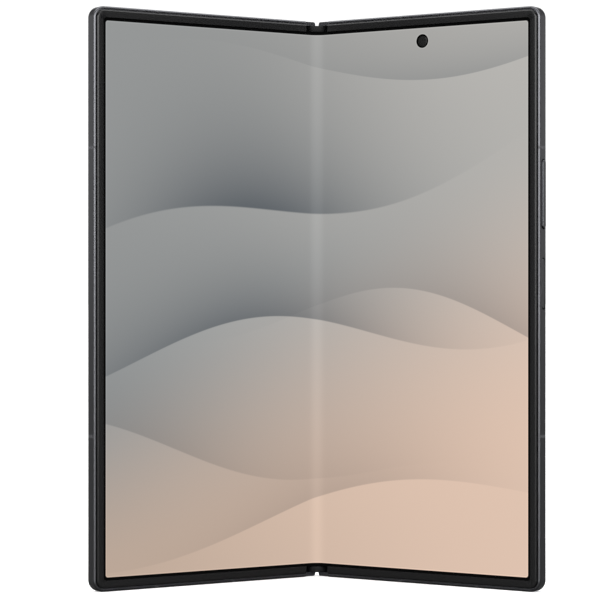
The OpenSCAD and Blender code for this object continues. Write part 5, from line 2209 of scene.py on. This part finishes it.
@dataclass
class Studio:
    """Pale floor, soft boxes, surroundings and the camera.

    Attributes:
        shop: sizes and finishes.
        distance: from the camera to the screen's fold in metres.
        lens: focal length.
        shift: sideways shift of the camera's window.
        level: the camera's height in metres.
        face: depth of the screen's face at the fold, behind the bezel's top, in millimetres.
        floor_half: half the floor's side in metres.
        floor_tone: tone in which the camera sees it.
        floor_glow: its strength for all other light.
        box_side: side of the soft box in metres.
        box_glow: its radiance.
        box_rise: its angle above the level, in degrees.
        box_away: its distance in metres.
        box_aim: the point that it faces.
        white: strength of the surroundings for the camera and for diffuse light.
        least: the least that surfaces mirror of them.
        horizon: height between whose negative and itself the front's strength rises, as a sine.
        front_edge: cosines between which the bright front of the surroundings fades in.
        front_glow: its strength near the floor and above.
        front_top: heights between which that front fades out, as sines.
        rear_glow: strength of the surroundings behind the phone.
        rear_edge: depths between which they fade in.
        rear_top: heights between which they fade out.
        panel_edge: cosines between which a bright panel right behind it fades in.
        panel_glow: its strength.
        upper_glow: strength of the surroundings above it.
        upper_edge: heights between which they fade in.
        upper_ends: depths between which they fade in and out again.
    """

    shop: Shop
    distance: float = 0.680
    lens: float = 142.88
    shift: float = -16.9 / 600
    level: float = 0.07893
    face: float = 0.267
    floor_half: float = 40
    floor_tone: float = 0.12
    floor_glow: float = 0.3
    box_side: float = 1.6
    box_glow: float = 1.6
    box_rise: float = 88
    box_away: float = 1.2
    box_aim: Triple = (0, 0.015, 0.08)
    white: float = 1.1
    least: float = 0.02
    horizon: float = 0.13
    front_edge: Point = (0.5, 0.74)
    front_glow: Point = (1.8, 6.0)
    front_top: Point = (0.6, 0.25)
    rear_glow: float = 0.66
    rear_edge: Point = (0.0, 0.5)
    rear_top: Point = (0.45, 0.16)
    panel_edge: Point = (0.84, 0.96)
    panel_glow: float = 2.6
    upper_glow: float = 2.2
    upper_edge: Point = (0.38, 0.6)
    upper_ends: tuple[Point, Point] = ((-0.45, -0.1), (0.6, 0.35))

    def face_y(self) -> float:
        """Place of the screen's face at the fold."""
        axis = fold_facts()[0]
        return (axis.y - self.shop.body.axis_depth + self.face) * MM

    def build_floor(self) -> None:
        """Lays a pale floor under the phone."""
        bm = bmesh.new()
        bmesh.ops.create_grid(bm, x_segments=1, y_segments=1, size=self.floor_half)
        mesh = bpy.data.meshes.new("floor")
        bm.to_mesh(mesh)
        bm.free()
        made = Finish("pale_floor", (0.93, 0.93, 0.93), 0.0, 0.9, 0.0, 40, 0.0).material()
        graph = Graph(made.node_tree)
        shader = made.node_tree.nodes["Principled BSDF"]
        graph.fill(shader, {"Emission Color": (1, 1, 1, 1), "Emission Strength": self.floor_glow})
        tone = (self.floor_tone, self.floor_tone, self.floor_tone, 1)
        dim = graph.add("BsdfDiffuse", {"Color": tone}).outputs[0]
        seen = graph.add("LightPath").outputs["Is Camera Ray"]
        feeds = {0: seen, 1: dim, 2: shader.outputs[0]}
        whole = graph.add("MixShader", feeds).outputs[0]
        graph.feed(made.node_tree.nodes["Material Output"].inputs["Surface"], whole)
        mesh.materials.append(made)
        floor = bpy.data.objects.new("floor", mesh)
        bpy.context.scene.collection.objects.link(floor)

    def build_box(self) -> None:
        """Hangs a soft box over the phone, which it faces."""
        light = bpy.data.lights.new("overhead_box", "AREA")
        light.shape = "RECTANGLE"
        light.size = light.size_y = self.box_side
        light.energy = self.box_glow * math.pi * self.box_side * self.box_side
        box = bpy.data.objects.new("overhead_box", light)
        turn = math.radians(self.box_rise)
        aim = Vector((0, -math.cos(turn), math.sin(turn)))
        box.location = Vector(self.box_aim) + aim * self.box_away
        box.rotation_euler = aim.to_track_quat("Z", "Y").to_euler()
        bpy.context.scene.collection.objects.link(box)

    def build_world(self) -> None:
        """White surroundings, dark before the phone in what its surfaces mirror."""
        world = bpy.data.worlds.new("surroundings")
        world.use_nodes = True
        bpy.context.scene.world = world
        graph = Graph(world.node_tree)
        way = graph.add("TexCoord").outputs["Generated"]
        part = graph.add("SeparateXYZ", {0: way}).outputs
        flat = graph.add("VectorMath", {0: way, 1: (1, 1, 0)}, operation="MULTIPLY")
        level = graph.add("VectorMath", {0: flat.outputs[0]}, operation="NORMALIZE")
        ahead = graph.add("SeparateXYZ", {0: level.outputs[0]}).outputs["Y"]
        front = graph.ramp(ahead, -self.front_edge[0], -self.front_edge[1])
        feeds = {"Value": part["Z"], "From Min": -self.horizon, "From Max": self.horizon}
        feeds |= {"To Min": self.front_glow[0], "To Max": self.front_glow[1]}
        rising = graph.add("MapRange", feeds).outputs[0]
        slant = graph.math("ABSOLUTE", part["Z"])
        front = graph.math("MULTIPLY", front, graph.ramp(part["Z"], *self.front_top))
        rear = graph.math("MULTIPLY", graph.ramp(part["Y"], *self.rear_edge), self.rear_glow)
        panel = graph.math("MULTIPLY", graph.ramp(ahead, *self.panel_edge), self.panel_glow)
        rear = graph.math("MAXIMUM", rear, panel)
        behind = graph.math("MULTIPLY", rear, graph.ramp(slant, *self.rear_top))
        above = graph.math("MULTIPLY", graph.ramp(part["Z"], *self.upper_edge), self.upper_glow)
        for edge in self.upper_ends:
            above = graph.math("MULTIPLY", above, graph.ramp(part["Y"], *edge))
        other = graph.math("ADD", graph.math("MAXIMUM", behind, above), self.least)
        mirrored = graph.math("MULTIPLY_ADD", front, rising, other)
        path = graph.add("LightPath").outputs
        plain = graph.math("MAXIMUM", path["Is Camera Ray"], path["Is Diffuse Ray"])
        feeds = {0: plain, 2: mirrored, 3: self.white}
        strength = graph.add("Mix", feeds, data_type="FLOAT").outputs[0]
        background = world.node_tree.nodes["Background"]
        graph.fill(background, {"Color": (1, 1, 1, 1), "Strength": strength})

    def build_camera(self) -> None:
        """Sets the camera level with the middle of the phone, and slightly off the fold."""
        lens = bpy.data.cameras.new("camera")
        lens.lens = self.lens
        lens.shift_x = self.shift
        lens.clip_start = 0.01
        lens.clip_end = 90
        camera = bpy.data.objects.new("camera", lens)
        camera.location = (0, self.face_y() - self.distance, self.level)
        camera.rotation_euler = (math.pi / 2, 0, 0)
        bpy.context.scene.collection.objects.link(camera)
        bpy.context.scene.camera = camera

    def build(self) -> None:
        """Builds the studio."""
        self.build_floor()
        self.build_box()
        self.build_world()
        self.build_camera()
        bpy.context.scene.view_settings.view_transform = "Standard"


def main() -> None:
    """Builds the phone and its studio in order."""
    logging.basicConfig(level=logging.INFO, format="%(message)s", stream=sys.stdout)
    shop = Shop(read_body(), Finishes())
    LOG.info("%s", shop.body)
    for side in Side:
        Shell(shop, side).build()
    InnerScreen(shop).build()
    Key(shop, "volume_rocker", "volume_key").build()
    Key(shop, "side_key", "power_key").build()
    Port(shop).build()
    RearCameras(shop).build()
    CoverScreen(shop).build()
    CardTray(shop).build()
    Spine(shop).build()
    FlexCable(shop).build()
    Inside(shop).build()
    Studio(shop).build()


if __name__ == "__main__":
    main()
